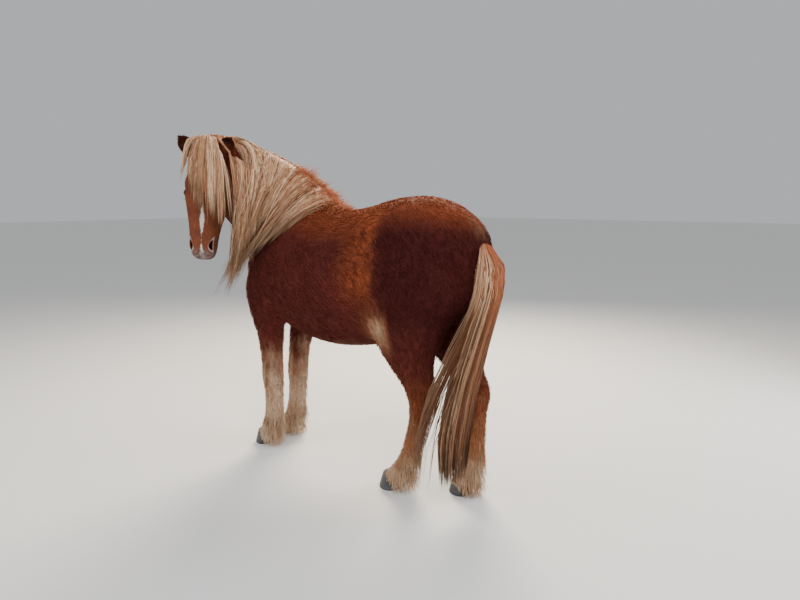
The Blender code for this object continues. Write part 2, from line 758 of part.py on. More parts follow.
def forelock_line(skin, u, back, length_share, clear, stations=6):
    """The line of a forelock lock that grows at u across the poll, back metres behind its front."""
    across = 2 * u - 1
    top = on_head(across * FORELOCK_HALF, -back, 0.10)
    down = (on_head(0, 0, 0) - on_head(0, 0, 1)).normalized()
    spot, normal = skin.ray_cast(top, down)[:2]
    side = (on_head(1, 0, 0) - on_head(0, 0, 0)).normalized()
    along = (on_head(0, 1, 0) - on_head(0, 0, 0)).normalized()
    spread = math.copysign(float(np.interp(u, *zip(*FORELOCK_SPREAD))), across)
    fall = Vector((0, 0, -1)) + side * spread
    length = length_share * float(np.interp(u, *zip(*FORELOCK_LENGTH)))
    aim = normal + along + side * across
    return hang(skin, spot - normal * ROOT_DEPTH, aim, fall, length, clear, stations, 0.5)


# forward, left, up, half width from side to side, half width from front to back
TAIL = (
    (-0.225, 0.000, 1.245, 0.030, 0.026),
    (-0.290, 0.000, 1.195, 0.045, 0.036),
    (-0.325, 0.004, 1.110, 0.066, 0.048),
    (-0.325, 0.012, 1.000, 0.080, 0.054),
    (-0.290, 0.036, 0.830, 0.088, 0.054),
    (-0.248, 0.070, 0.600, 0.104, 0.050),
    (-0.220, 0.098, 0.350, 0.114, 0.046),
    (-0.215, 0.100, 0.120, 0.090, 0.032),
)


def tail_stations(steps):
    return [(place(*row[:3]), row[3], row[4]) for row in smooth_rows(TAIL, steps)]


DOCK_STATIONS = 7           # of the tail's middle line, counted at two a row
DOCK_RADIUS = (0.030, 0.014)
TAIL_LOCKS = 13
TAIL_LOCK = (0.045, 0.014)          # half width, thickness


def dock():
    """The tail's fleshy core, out of the rump and down under the hair."""
    stations = tail_stations(2)[:DOCK_STATIONS]
    rings = []
    for i, (centre, _, _) in enumerate(stations):
        along = stations[min(i + 1, len(stations) - 1)][0] - stations[max(i - 1, 0)][0]
        rise = along.normalized().cross(Vector((1, 0, 0))).normalized()
        radius = float(np.interp(i, (0, len(stations) - 1), DOCK_RADIUS))
        rings.append(section(centre, Vector((1, 0, 0)), rise, radius, radius, radius)[::3])
    return loft("tail", rings)


def tail_line(angle, start, stop, depth, stations=5):
    """The line of a tail lock: from the dock at start to stop, shares of the tail's whole length.

    angle is round the tail from the horse's left, through the back. depth is how near the lock lies to
    the outside of the hair, 1 at its surface.
    """
    path = tail_stations(6)
    line = []
    for k in range(stations):
        share = start + (stop - start) * k / (stations - 1)
        index = share * (len(path) - 1)
        low = min(int(index), len(path) - 2)
        centre = path[low][0].lerp(path[low + 1][0], index - low)
        half_side = float(np.interp(index, (low, low + 1), (path[low][1], path[low + 1][1])))
        half_deep = float(np.interp(index, (low, low + 1), (path[low][2], path[low + 1][2])))
        out = depth * min(1.0, 0.10 + 3.6 * (share - start))
        off = Vector((math.cos(angle) * half_side, math.sin(angle) * half_deep, 0))
        line.append((centre + off * out, off.normalized()))
    return line


def tail_locks(draw):
    """Locks in a spiral down the dock, so that each lies over the one that grows below it."""
    locks = []
    for i in range(TAIL_LOCKS):
        angle = 2 * math.pi * (i * 0.618) + draw.uniform(-0.1, 0.1)
        start = 0.05 + 0.22 * i / TAIL_LOCKS
        stop = min(1.0, draw.uniform(0.90, 1.06))
        depth = 0.92 - 0.40 * i / TAIL_LOCKS
        locks.append(lock(tail_line(angle, start, stop, depth), TAIL_LOCK[0], TAIL_LOCK[1]))
    return locks


# A lock's width down its length: share of the length, share of the width
LOCK_TAPER = ((0.0, 0.75), (0.25, 1.0), (0.60, 0.85), (0.85, 0.50), (1.0, 0.0))


def lock(line, half_width, thickness):
    """A flat lock of hair along a line of places, tapering to a point."""
    last = len(line) - 1
    bm = bmesh.new()
    rows = []
    for k, (point, off) in enumerate(line[:-1]):
        size = float(np.interp(k / last, *zip(*LOCK_TAPER)))
        along = (line[k + 1][0] - line[max(k - 1, 0)][0]).normalized()
        side = along.cross(off).normalized()
        half, rise = side * half_width * size, side.cross(along) * thickness * size
        corners = (point - half, point + half, point + half * 0.5 + rise, point - half * 0.5 + rise)
        rows.append([bm.verts.new(corner) for corner in corners])
    tip = bm.verts.new(line[-1][0])
    for low, high in zip(rows, rows[1:]):
        for i in range(4):
            bm.faces.new((low[i], low[(i + 1) % 4], high[(i + 1) % 4], high[i]))
    for i in range(4):
        bm.faces.new((rows[-1][i], rows[-1][(i + 1) % 4], tip))
    bm.faces.new(rows[0])
    bmesh.ops.triangulate(bm, faces=bm.faces)
    bmesh.ops.recalc_face_normals(bm, faces=bm.faces)
    return add_object("lock", bm)


# Each layer of the mane: locks, first u, last u, where its roots are in degrees down the neck's left,
# which way it falls, share of the full length, clear of skin
MANE_LAYERS = (
    (9, 0.07, 0.97, 13.0, 1, 0.92, 0.006),
    (7, 0.16, 0.96, 3.0, -1, 0.28, 0.016),
    (8, 0.09, 0.95, -6.0, 1, 1.0, 0.032),
)
SHORT_LOCK = 0.25                   # locks shorter than this have fewer stations
MANE_LOCK = (0.055, 0.011)          # half width, thickness
FORELOCK_LAYERS = ((5, 0.0, 0.85, 0.010), (4, 0.016, 1.0, 0.028))    # locks, back, length, clear
FORELOCK_LOCK = (0.032, 0.009)


def mane_locks(skin, draw):
    locks = []
    for count, first, last, lean, way, share, clear in MANE_LAYERS:
        for i in range(count):
            u = first + (last - first) * (i + draw.uniform(-0.15, 0.15)) / (count - 1)
            length = share * draw.uniform(0.88, 1.08)
            line = mane_line(skin, min(max(u, 0.04), 0.99), lean, way, length, clear)
            locks.append(lock(line, MANE_LOCK[0] * draw.uniform(0.9, 1.1), MANE_LOCK[1]))
    return locks


def forelock_locks(skin, draw):
    locks = []
    for count, back, share, clear in FORELOCK_LAYERS:
        for i in range(count):
            u = min(max((i + draw.uniform(-0.15, 0.15)) / (count - 1), 0.0), 1.0)
            line = forelock_line(skin, u, back, share * draw.uniform(0.85, 1.05), clear)
            locks.append(lock(line, FORELOCK_LOCK[0], FORELOCK_LOCK[1]))
    return locks


# Hair of a foot: up, way round from straight ahead in degrees, length
FEATHER_LOCKS = (
    (0.300, 180.0, 0.150), (0.230, 152.0, 0.160), (0.230, 208.0, 0.160), (0.150, 180.0, 0.130),
    (0.120, 125.0, 0.112), (0.120, 235.0, 0.112), (0.110, 62.0, 0.072), (0.110, 298.0, 0.072),
)
FEATHER_LOCK = (0.034, 0.010)
FLOOR_CLEAR = 0.006
LEG_TABLES = {"front": (FORELEG, FORE_REACH, FORELEG_FOOT), "hind": (HINDLEG, HIND_REACH, HINDLEG_FOOT)}


def leg_middle(end, name, up, forward):
    """The model's place in a leg, for a place given as in the leg's table."""
    table, reach, foot_forward = LEG_TABLES[end]
    share = float(np.interp(up, *zip(*sorted(reach))))
    heights = [row[0] for row in table][::-1]
    left = float(np.interp(up, heights, [row[3] for row in table][::-1]))
    foot = FEET[end][name]
    left += share * (abs(foot[1]) - table[-1][3])
    return place(forward + share * (foot[0] - foot_forward), SIDES[name] * left, up)


def feather_locks(end, name, skin, draw):
    """Long hair behind the cannon and round the foot, clear of the hoof and the floor."""
    table = LEG_TABLES[end][0]
    heights = [row[0] for row in table][::-1]
    locks = []
    for up, way, length in FEATHER_LOCKS:
        front, back = (float(np.interp(up, heights, [row[k] for row in table][::-1])) for k in (1, 2))
        centre = leg_middle(end, name, up, (front + back) / 2)
        way = math.radians(way + draw.uniform(-6, 6))
        out = Vector((math.sin(way), -math.cos(way), 0))
        spot, normal = skin.ray_cast(centre, out)[:2]
        aim = out * 0.25 + Vector((0, 0, -1))
        fall = Vector((0, 0, -1)) + out * 0.08
        line = hang(skin, spot - normal * 0.008, aim, fall, length, 0.005, 4, 0.4)
        line = [(Vector((place_.x, place_.y, max(place_.z, FLOOR_CLEAR + 0.004 * k))), off)
                for k, (place_, off) in enumerate(line)]
        locks.append(lock(line, FEATHER_LOCK[0], FEATHER_LOCK[1]))
    return locks


PAINTS = {
    "coat": ((0.110, 0.036, 0.014), 0.85),
    "hair": ((0.480, 0.300, 0.160), 0.75),
    "horn": ((0.045, 0.047, 0.052), 0.55),
    "eye": ((0.010, 0.006, 0.004), 0.08),
}
NODE_PAINT = {"tail": "hair", "eye_left": "eye", "eye_right": "eye"}


def paint(obj, kind):
    colour, roughness = PAINTS[kind]
    material = bpy.data.materials.new(f"{obj.name} {kind}")
    material.use_nodes = True
    shader = material.node_tree.nodes["Principled BSDF"]
    shader.inputs["Base Color"].default_value = (*colour, 1.0)
    shader.inputs["Roughness"].default_value = roughness
    obj.data.materials.clear()
    obj.data.materials.append(material)


def stand_on_origin(nodes):
    """Moves the nodes' parent so that the middle of the bottom of their box is the origin."""
    places = np.vstack([vertex_places(node) for node in nodes])
    low, high = places.min(axis=0), places.max(axis=0)
    stance = bpy.data.objects.new("stance", None)
    bpy.context.scene.collection.objects.link(stance)
    stance.location = (-(low[0] + high[0]) / 2, -(low[1] + high[1]) / 2, -low[2])
    for node in nodes:
        node.parent = stance


def make_head(whole):
    head = copy_of(whole, "head")
    combine(head, [head_block("block", 0.02)], "INTERSECT")
    thin_out(head, HEAD_TRIANGLES)
    eyes = eye_spots(surface(head))
    carve_head(head, eyes)
    return head, eyes


def make_legs(torso, skin, draw):
    """Parts each leg from the torso, then its lower piece and its hoof from it."""
    nodes = []
    for end in LEG_BLOCKS:
        for name, side in SIDES.items():
            upper = copy_of(torso, f"leg_{end}_{name}_upper")
            combine(upper, [leg_block(end, side, 0.0)], "INTERSECT")
            combine(torso, [leg_block(end, side, GAP)], "DIFFERENCE")
            joint = Vector((0, 0, JOINT_UP[end]))
            lower = part_by_plane(upper, f"leg_{end}_{name}_lower", joint, Vector((0, 0, -1)))
            spot, normal = coronet(end, name)
            cut_by_plane(lower, spot + normal * GAP / 2, -normal)
            combine(lower, feather_locks(end, name, skin, draw), "UNION")
            combine(lower, [hoof(end, name, GAP)], "DIFFERENCE")
            nodes += [upper, lower, hoof(end, name)]
    return nodes


def main():
    clear_scene()
    whole = whole_horse()
    head, eyes = make_head(whole)
    thin_out(whole, BODY_TRIANGLES)
    skin = surface(whole)
    torso = whole
    torso.name = "torso"
    combine(torso, [head_block("block", GAP)], "DIFFERENCE")
    start, end = (place(forward, 0, up) for forward, up in NECK_CUT)
    normal = Vector((0, -(start.z - end.z), start.y - end.y)).normalized()
    neck_node = part_by_plane(torso, "neck", (start + end) / 2, normal)

    ears = [ear(name, -side) for name, side in SIDES.items()]
    for piece in ears:
        combine(piece, [swollen(head, GAP), swollen(neck_node, GAP)], "DIFFERENCE")
    combine(head, [head_block("block", 0.0)], "INTERSECT")

    draw = random.Random(SEED)
    combine(neck_node, mane_locks(skin, draw), "UNION")
    cutters = [swollen(piece, NEAR_GAP) for piece in (*ears, torso)] + [head_block("block", NEAR_GAP)]
    combine(neck_node, cutters, "DIFFERENCE")
    combine(head, forelock_locks(surface(head), draw), "UNION")
    cutters = [swollen(piece, gap) for piece in (*ears, neck_node) for gap in (NEAR_GAP, NEAR_GAP / 2)]
    combine(head, cutters, "DIFFERENCE")

    tail = dock()
    combine(tail, tail_locks(draw), "UNION")
    combine(tail, [swollen(torso, GAP)], "DIFFERENCE")
    nodes = [torso, neck_node, head, tail] + ears + make_legs(torso, skin, draw)
    for name, side in SIDES.items():
        nodes.append(ball(f"eye_{name}", eyes[-side], EYE_RADIUS))
    for node in nodes:
        paint(node, NODE_PAINT.get(node.name, "horn" if node.name.startswith("hoof") else "coat"))
    stand_on_origin(nodes)


main()
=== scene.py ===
import json
import math

import bmesh
import bpy
import numpy as np
from mathutils import Matrix, Vector
from mathutils.bvhtree import BVHTree

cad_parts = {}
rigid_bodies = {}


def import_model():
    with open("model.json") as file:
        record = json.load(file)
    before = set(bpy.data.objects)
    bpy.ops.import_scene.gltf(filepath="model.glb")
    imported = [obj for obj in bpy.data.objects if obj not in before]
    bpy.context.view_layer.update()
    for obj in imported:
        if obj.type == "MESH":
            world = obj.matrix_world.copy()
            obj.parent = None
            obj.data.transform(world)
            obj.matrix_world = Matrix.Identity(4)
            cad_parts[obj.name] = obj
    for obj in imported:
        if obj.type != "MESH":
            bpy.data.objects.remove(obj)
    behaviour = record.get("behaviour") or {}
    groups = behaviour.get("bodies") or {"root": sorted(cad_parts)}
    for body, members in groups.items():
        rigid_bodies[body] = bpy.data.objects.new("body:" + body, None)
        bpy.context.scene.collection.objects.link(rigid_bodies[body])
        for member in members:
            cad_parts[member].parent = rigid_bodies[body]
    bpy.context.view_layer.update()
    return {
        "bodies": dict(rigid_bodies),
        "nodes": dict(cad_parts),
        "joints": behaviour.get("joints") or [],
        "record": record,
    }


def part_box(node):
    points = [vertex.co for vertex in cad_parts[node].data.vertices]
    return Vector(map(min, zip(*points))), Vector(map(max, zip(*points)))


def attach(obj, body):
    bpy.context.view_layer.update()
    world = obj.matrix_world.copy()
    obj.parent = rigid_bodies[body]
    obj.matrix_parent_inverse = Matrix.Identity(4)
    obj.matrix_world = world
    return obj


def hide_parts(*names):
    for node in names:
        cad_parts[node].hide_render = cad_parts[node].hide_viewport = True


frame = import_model()
print("frame loaded")

# ---- places ----
# A place in the horse's own measures is forward of the hind feet, left of the body's middle, up from
# the floor. In the frame +X is left and -Y is forward, and the frame's origin is moved by stance.
footLow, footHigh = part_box("hoof_front_left")
frontFoot = {"left": 0.098, "toe": 1.139}      # middle and toe of that hoof in the horse's own measures
stance = np.array([(footLow.x + footHigh.x) / 2 - frontFoot["left"], footLow.y + frontFoot["toe"], 0.0])


def stacked(*parts):
    # the parts side by side as the last axis
    return np.stack(np.broadcast_arrays(*(np.asarray(part, float) for part in parts)), -1)


poll = (1.108, 0.382, 1.602)      # top of the head between the ears, on the head's axis
headPose = {"turn": 132.0, "drop": 76.0, "tilt": -3.0, "scale": 0.96}      # degrees, and a plain factor


def place(forward, left, up):
    # (left, -forward, up) + stance
    return stacked(left, -np.asarray(forward, float), up) + stance


def ownMeasures(points):
    # forward, left and up of points
    local = points - stance
    return -local[..., 1], local[..., 0], local[..., 2]


def headAxes():
    # columns: across to the head's left, along to the muzzle, off the face
    turn, drop, tilt = (math.radians(headPose[key]) for key in ("turn", "drop", "tilt"))
    ahead = np.array([math.sin(turn), -math.cos(turn), 0.0])
    up = np.array([0.0, 0.0, 1.0])
    along = ahead * math.cos(drop) - up * math.sin(drop)
    face = ahead * math.sin(drop) + up * math.cos(drop)
    axes = np.column_stack([np.cross(along, face), along, face])
    return axes @ np.array(Matrix.Rotation(tilt, 3, "Z"))


headTurn = headAxes()
headOrigin = place(*poll)


def onHead(across, along, face):
    # origin + axes (across, along, face) scale
    return headOrigin + headPose["scale"] * stacked(across, along, face) @ headTurn.T


def headMeasures(points):
    # the inverse of onHead
    local = (points - headOrigin) @ headTurn / headPose["scale"]
    return local[..., 0], local[..., 1], local[..., 2]


def inHeadBox(across, face, up, wide=0.17, jaw=-0.33, brow=0.15, floor=0.95):
    # true in the box round the head, wherever a place lies along it
    return (np.abs(across) < wide) & (face > jaw) & (face < brow) & (up > floor)


def ramp(value, low, high):
    # 0 below low, 1 above high, 3t^2 - 2t^3 between
    t = np.clip((value - low) / (high - low), 0, 1)
    return t * t * (3 - 2 * t)


def bell(value, middle, width):
    # exp(-((value - middle) / width)^2)
    return np.exp(-((value - middle) / width) ** 2)


def between(first, second, share):
    # the first where share is 0, the second where it is 1
    return first * (1 - share) + second * share


def unit(vectors):
    return vectors / np.maximum(np.linalg.norm(vectors, axis=-1, keepdims=True), 1e-9)


def linear(*levels):
    # the linear values of 8-bit display levels
    share = np.array(levels, float) / 255
    return np.where(share <= 0.04045, share / 12.92, ((share + 0.055) / 1.055) ** 2.4)


def table(pairs, value):
    xs, ys = zip(*pairs)
    return np.interp(value, xs, ys)


def smoothRows(rows, steps):
    # Catmull-Rom between the rows, steps to each
    rows = np.array(rows, float)
    padded = np.vstack([2 * rows[0] - rows[1], rows, 2 * rows[-1] - rows[-2]])
    a, b, c, d = (padded[k:len(padded) - 3 + k][:, None, :] for k in range(4))
    t = (np.arange(steps) / steps)[None, :, None]
    fine = 0.5 * (2 * b + (c - a) * t + (2 * a - 5 * b + 4 * c - d) * t**2 + (3 * b - a - 3 * c + d) * t**3)
    return np.vstack([fine.reshape(-1, rows.shape[1]), rows[-1:]])


# ---- meshes ----
def meshObject(name, points, faces):
    mesh = bpy.data.meshes.new(name)
    mesh.from_pydata(points.tolist(), [], [tuple(face) for face in faces])
    mesh.update()
    obj = bpy.data.objects.new(name, mesh)
    bpy.context.scene.collection.objects.link(obj)
    return obj


def tubeFaces(rows, columns, start=0):
    # quads between each ring and the next, and a cap on each end
    row, column = np.meshgrid(np.arange(rows - 1), np.arange(columns), indexing="ij")
    near = start + row * columns + column
    far = start + row * columns + (column + 1) % columns
    quads = np.stack([near, far, far + columns, near + columns], -1).reshape(-1, 4).tolist()
    first = start + np.arange(columns)[::-1]
    last = start + (rows - 1) * columns + np.arange(columns)
    return quads + [first.tolist(), last.tolist()]


def ringGrid(centre, side, rise, halfSide, halfRise, halfFall, squareness=1.0, lean=0.0, points=40):
    # ring(a) = centre + side w |sin a|^q (1 + lean cos a) + rise h |cos a|^q, with signs kept
    angle = np.linspace(0, 2 * math.pi, points, endpoint=False)
    down, over = np.cos(angle), np.sin(angle)
    side, rise = (np.broadcast_to(way, centre.shape)[:, None, :] for way in (side, rise))
    lean = np.broadcast_to(lean, (len(centre),))[:, None]
    across = np.sign(over) * np.abs(over)**squareness * (1 + lean * down)
    along = np.sign(down) * np.abs(down)**squareness
    reach = np.where(along > 0, np.reshape(halfRise, (-1, 1)), np.reshape(halfFall, (-1, 1)))
    offset = side * (across * np.reshape(halfSide, (-1, 1)))[..., None]
    return centre[:, None, :] + offset + rise * (along * reach)[..., None]


def reworked(obj, work):
    # the object after work has changed its mesh in bmesh
    bm = bmesh.new()
    bm.from_mesh(obj.data)
    work(bm)
    bm.to_mesh(obj.data)
    bm.free()
    return obj


def facedOut(obj):
    # the object with all its faces turned outward
    return reworked(obj, lambda bm: bmesh.ops.recalc_face_normals(bm, faces=bm.faces))


def ballGrid(centre, radii, axes=np.eye(3), points=32, rows=20):
    # centre + axes (rx sin t cos p, ry sin t sin p, rz cos t)
    t = np.linspace(0.06, math.pi - 0.06, rows)[:, None]
    p = np.linspace(0, 2 * math.pi, points, endpoint=False)[None, :]
    local = np.stack([np.sin(t) * np.cos(p), np.sin(t) * np.sin(p), np.cos(t) * np.ones_like(p)], -1)
    return centre + (local * np.array(radii)) @ np.asarray(axes).T


def solidFromGrids(name, grids):
    points, faces, start = [], [], 0
    for grid in grids:
        rows, columns = grid.shape[:2]
        points.append(grid.reshape(-1, 3))
        faces += tubeFaces(rows, columns, start)
        start += rows * columns
    return facedOut(meshObject(name, np.vstack(points), faces))


def withModifier(obj, kind, **settings):
    # the object with one more modifier, which applied() makes part of its mesh
    modifier = obj.modifiers.new(kind.lower(), kind)
    for key, value in settings.items():
        setattr(modifier, key, value)
    return obj


def vertexData(obj, key):
    flat = np.empty(len(obj.data.vertices) * 3)
    obj.data.vertices.foreach_get(key, flat)
    return flat.reshape(-1, 3)


def applied(obj):
    # the object with its modifiers made part of its mesh
    bpy.context.view_layer.update()
    graph = bpy.context.evaluated_depsgraph_get()
    mesh = bpy.data.meshes.new_from_object(obj.evaluated_get(graph))
    obj.modifiers.clear()
    obj.vertex_groups.clear()
    old = obj.data
    obj.data = mesh
    bpy.data.meshes.remove(old)
    return obj


def vertexPlaces(obj):
    return vertexData(obj, "co")


def vertexNormals(obj):
    return vertexData(obj, "normal")


def giveTint(obj, colours):
    # the colour that each vertex carries
    levels = np.ones((len(obj.data.vertices), 4), np.float32)
    levels[:, :3] = colours
    obj.data.color_attributes.new("tint", "FLOAT_COLOR", "POINT").data.foreach_set("color", levels.ravel())


def giveMap(obj, corners):
    # the page that the looks are baked on: a place in it for each face corner
    obj.data.uv_layers.new(name="OFBake").data.foreach_set("uv", corners.ravel().astype(np.float32))


def shadeSmooth(obj):
    obj.data.polygons.foreach_set("use_smooth", np.ones(len(obj.data.polygons), bool))


def movePoints(obj, points):
    obj.data.vertices.foreach_set("co", points.ravel())
    obj.data.update()


# ---- the body's forms ----
bodyForms = {
    # forward, top, bottom, half width, lean
    "trunk": (
        (-0.298, 1.210, 1.010, 0.060, 0.0), (-0.268, 1.272, 0.900, 0.125, 0.0),
        (-0.200, 1.330, 0.850, 0.175, 0.05), (-0.100, 1.380, 0.805, 0.212, 0.08),
        (0.020, 1.402, 0.765, 0.238, 0.05), (0.160, 1.390, 0.715, 0.255, -0.05),
        (0.320, 1.352, 0.672, 0.278, -0.12), (0.480, 1.335, 0.654, 0.286, -0.15),
        (0.640, 1.357, 0.662, 0.268, -0.16), (0.780, 1.360, 0.684, 0.240, -0.12),
        (0.900, 1.300, 0.710, 0.212, -0.05), (1.010, 1.240, 0.755, 0.196, 0.0),
        (1.095, 1.170, 0.820, 0.168, 0.0), (1.150, 1.100, 0.885, 0.110, 0.0),
    ),
    # forward, left, up of the axis, half width, reach to the crest, reach to the throat
    "neck": (
        (0.700, 0.000, 1.090, 0.175, 0.285, 0.260), (0.850, 0.010, 1.205, 0.158, 0.280, 0.260),
        (0.985, 0.070, 1.340, 0.136, 0.250, 0.235), (1.068, 0.170, 1.452, 0.122, 0.214, 0.200),
        (1.108, 0.275, 1.525, 0.112, 0.180, 0.180), (1.120, 0.360, 1.560, 0.100, 0.142, 0.160),
        (1.110, 0.420, 1.570, 0.082, 0.105, 0.130),
    ),
    # along the head, height of the face line, height of the jaw line, half width, lean
    "head": (
        (-0.060, -0.020, -0.130, 0.044, 0.0), (-0.035, 0.012, -0.180, 0.068, 0.0),
        (0.030, 0.032, -0.225, 0.086, 0.08), (0.090, 0.042, -0.242, 0.103, 0.12),
        (0.150, 0.044, -0.244, 0.113, 0.12), (0.210, 0.038, -0.230, 0.110, 0.12),
        (0.270, 0.030, -0.198, 0.101, 0.05), (0.330, 0.022, -0.162, 0.088, 0.0),
        (0.390, 0.014, -0.138, 0.078, -0.02), (0.440, 0.010, -0.130, 0.072, 0.0),
        (0.485, -0.002, -0.128, 0.068, 0.0), (0.520, -0.022, -0.120, 0.058, 0.0),
        (0.540, -0.045, -0.102, 0.036, 0.0),
    ),
    # across, along, face, then the radii
    "headBulges": (
        (0.010, -0.036, 0.000, 0.050, 0.052, 0.042),    # poll
        (0.072, 0.148, 0.000, 0.032, 0.048, 0.030),     # brow
        (0.050, 0.165, -0.155, 0.050, 0.095, 0.086),    # cheek
        (0.042, 0.464, -0.030, 0.026, 0.038, 0.032),    # nostril's rim
        (0.016, 0.510, -0.064, 0.036, 0.032, 0.032),    # upper lip
        (0.010, 0.490, -0.108, 0.034, 0.038, 0.020),    # lower lip
        (0.006, 0.452, -0.120, 0.030, 0.032, 0.019),    # chin
    ),
    # left, forward, up, then the radii
    "bodyBulges": (
        (0.065, 1.082, 0.985, 0.085, 0.066, 0.120),     # breast
        (0.060, 0.975, 1.130, 0.105, 0.110, 0.120),     # neck's root
        (0.142, 1.030, 1.030, 0.052, 0.068, 0.090),     # point of the shoulder
        (0.150, 0.200, 1.225, 0.074, 0.110, 0.074),     # hip
        (0.145, 0.165, 0.845, 0.060, 0.055, 0.075),     # stifle
        (0.165, 0.245, 0.815, 0.045, 0.090, 0.075),     # fold of the flank
    ),
    "voxel": 0.006, "broadRounds": 110, "fineRounds": 9,
}

legForms = {
    # up, front edge, back edge, left of the middle, half width
    "front": (
        (1.270, 0.860, 0.700, 0.085, 0.040), (1.180, 0.975, 0.720, 0.115, 0.065),
        (1.060, 1.055, 0.755, 0.134, 0.082), (0.940, 1.105, 0.790, 0.145, 0.088),
        (0.840, 1.098, 0.825, 0.146, 0.084), (0.750, 1.078, 0.855, 0.137, 0.075),
        (0.660, 1.058, 0.885, 0.122, 0.066), (0.560, 1.048, 0.910, 0.110, 0.059),
        (0.480, 1.044, 0.918, 0.104, 0.055), (0.425, 1.049, 0.918, 0.101, 0.055),
        (0.380, 1.045, 0.917, 0.100, 0.052), (0.320, 1.034, 0.918, 0.099, 0.047),
        (0.240, 1.034, 0.917, 0.098, 0.045), (0.185, 1.038, 0.914, 0.098, 0.047),
        (0.145, 1.050, 0.915, 0.098, 0.048), (0.110, 1.066, 0.938, 0.098, 0.048),
        (0.080, 1.080, 0.966, 0.098, 0.049), (0.040, 1.088, 0.986, 0.098, 0.050),
        (0.005, 1.096, 0.996, 0.098, 0.050),
    ),
    "hind": (
        (1.290, 0.120, -0.120, 0.080, 0.060), (1.200, 0.180, -0.205, 0.110, 0.095),
        (1.080, 0.210, -0.260, 0.125, 0.118), (0.960, 0.222, -0.270, 0.130, 0.124),
        (0.870, 0.212, -0.255, 0.131, 0.116), (0.790, 0.175, -0.240, 0.130, 0.101),
        (0.720, 0.108, -0.228, 0.124, 0.083), (0.650, 0.036, -0.222, 0.116, 0.069),
        (0.580, -0.040, -0.245, 0.109, 0.058), (0.530, -0.092, -0.272, 0.105, 0.052),
        (0.480, -0.130, -0.272, 0.101, 0.050), (0.430, -0.150, -0.262, 0.097, 0.047),
        (0.370, -0.160, -0.258, 0.093, 0.042), (0.270, -0.160, -0.258, 0.089, 0.041),
        (0.200, -0.155, -0.258, 0.087, 0.044), (0.155, -0.140, -0.258, 0.085, 0.047),
        (0.115, -0.120, -0.240, 0.083, 0.047), (0.080, -0.102, -0.215, 0.082, 0.049),
        (0.040, -0.092, -0.194, 0.082, 0.050), (0.005, -0.085, -0.187, 0.082, 0.050),
    ),
    "reach": {      # up, share of the way that the leg is carried to its foot's place
        "front": ((0.0, 1.0), (0.15, 0.90), (0.42, 0.45), (0.80, 0.05), (1.27, 0.0)),
        "hind": ((0.0, 1.0), (0.15, 0.86), (0.50, 0.52), (0.80, 0.22), (1.00, 0.04), (1.29, 0.0)),
    },
    "tableFoot": {"front": 1.050, "hind": -0.145},
    "feet": {"front": {"left": (1.075, 0.098), "right": (1.095, -0.084)},
             "hind": {"left": (0.150, 0.082), "right": (-0.150, -0.082)}},
}
sides = {"left": 1.0, "right": -1.0}
ends = ("front", "hind")
acrossBody, aheadOfBody, upward = (1.0, 0.0, 0.0), (0.0, -1.0, 0.0), (0.0, 0.0, 1.0)


def trunkGrid():
    forward, top, bottom, half, lean = smoothRows(bodyForms["trunk"], 6).T
    reach = (top - bottom) / 2
    return ringGrid(place(forward, 0, (top + bottom) / 2), acrossBody, upward, half, reach, reach, 0.90, lean)


def neckStations(steps=5):
    rows = smoothRows(bodyForms["neck"], steps)
    centre = place(*rows[:, :3].T)
    index = np.arange(len(rows))
    along = unit(centre[np.minimum(index + 1, len(rows) - 1)] - centre[np.maximum(index - 1, 0)])
    side = unit(np.cross(upward, along))
    return centre, side, unit(np.cross(along, side)), rows[:, 3:]


def neckGrid():
    centre, side, rise, sizes = neckStations()
    return ringGrid(centre, side, rise, *sizes.T, 0.95, -0.10)


def headGrid():
    along, face, jaw, half, lean = smoothRows(bodyForms["head"], 6).T
    reach = headPose["scale"] * (face - jaw) / 2
    centre = onHead(0, along, (face + jaw) / 2)
    return ringGrid(centre, headTurn[:, 0], headTurn[:, 2], headPose["scale"] * half, reach, reach, 0.85, lean)


def legCarry(end, side, up):
    # how far the leg's table is carried forward and left at that height
    share = table(legForms["reach"][end], up)
    foot = legForms["feet"][end][side]
    return share * (foot[0] - legForms["tableFoot"][end]), share * (abs(foot[1]) - legForms[end][-1][3])


def legGrid(end, side):
    up, front, back, left, half = smoothRows(legForms[end], 5).T
    forward, inward = legCarry(end, side, up)
    centre = place((front + back) / 2 + forward, sides[side] * (left + inward), up)
    return ringGrid(centre, acrossBody, aheadOfBody, half, (front - back) / 2, (front - back) / 2, 0.95)


tailForm = (      # forward, left, up, half width from side to side, half width from front to back
    (-0.225, 0.000, 1.245, 0.030, 0.026), (-0.290, 0.000, 1.195, 0.045, 0.036),
    (-0.325, 0.004, 1.110, 0.066, 0.048), (-0.325, 0.012, 1.000, 0.080, 0.054),
    (-0.290, 0.036, 0.830, 0.088, 0.054), (-0.248, 0.070, 0.600, 0.104, 0.050),
    (-0.220, 0.098, 0.350, 0.114, 0.046), (-0.215, 0.100, 0.120, 0.090, 0.032),
)


def dockGrid():
    centre = place(*smoothRows(tailForm, 2)[:7, :3].T)
    along = unit(np.gradient(centre, axis=0))
    radius = np.linspace(0.030, 0.012, len(centre))
    rise = unit(np.cross(along, np.broadcast_to(acrossBody, along.shape)))
    return ringGrid(centre, acrossBody, rise, radius, radius, radius, points=20)


def broadShare(places):
    # 1 where the broad smoothing acts in full: above the legs, and 21 cm from the middle of the muzzle
    start, end = onHead(0, 0.20, -0.10), onHead(0, 0.54, -0.10)
    share = np.clip((places - start) @ (end - start) / np.sum((end - start) ** 2), 0, 1)
    fromHead = np.linalg.norm(places - start - share[:, None] * (end - start), axis=1)
    return np.minimum(np.clip((places[:, 2] - 0.62) / 0.22, 0, 1), np.clip((fromHead - 0.13) / 0.08, 0, 1))


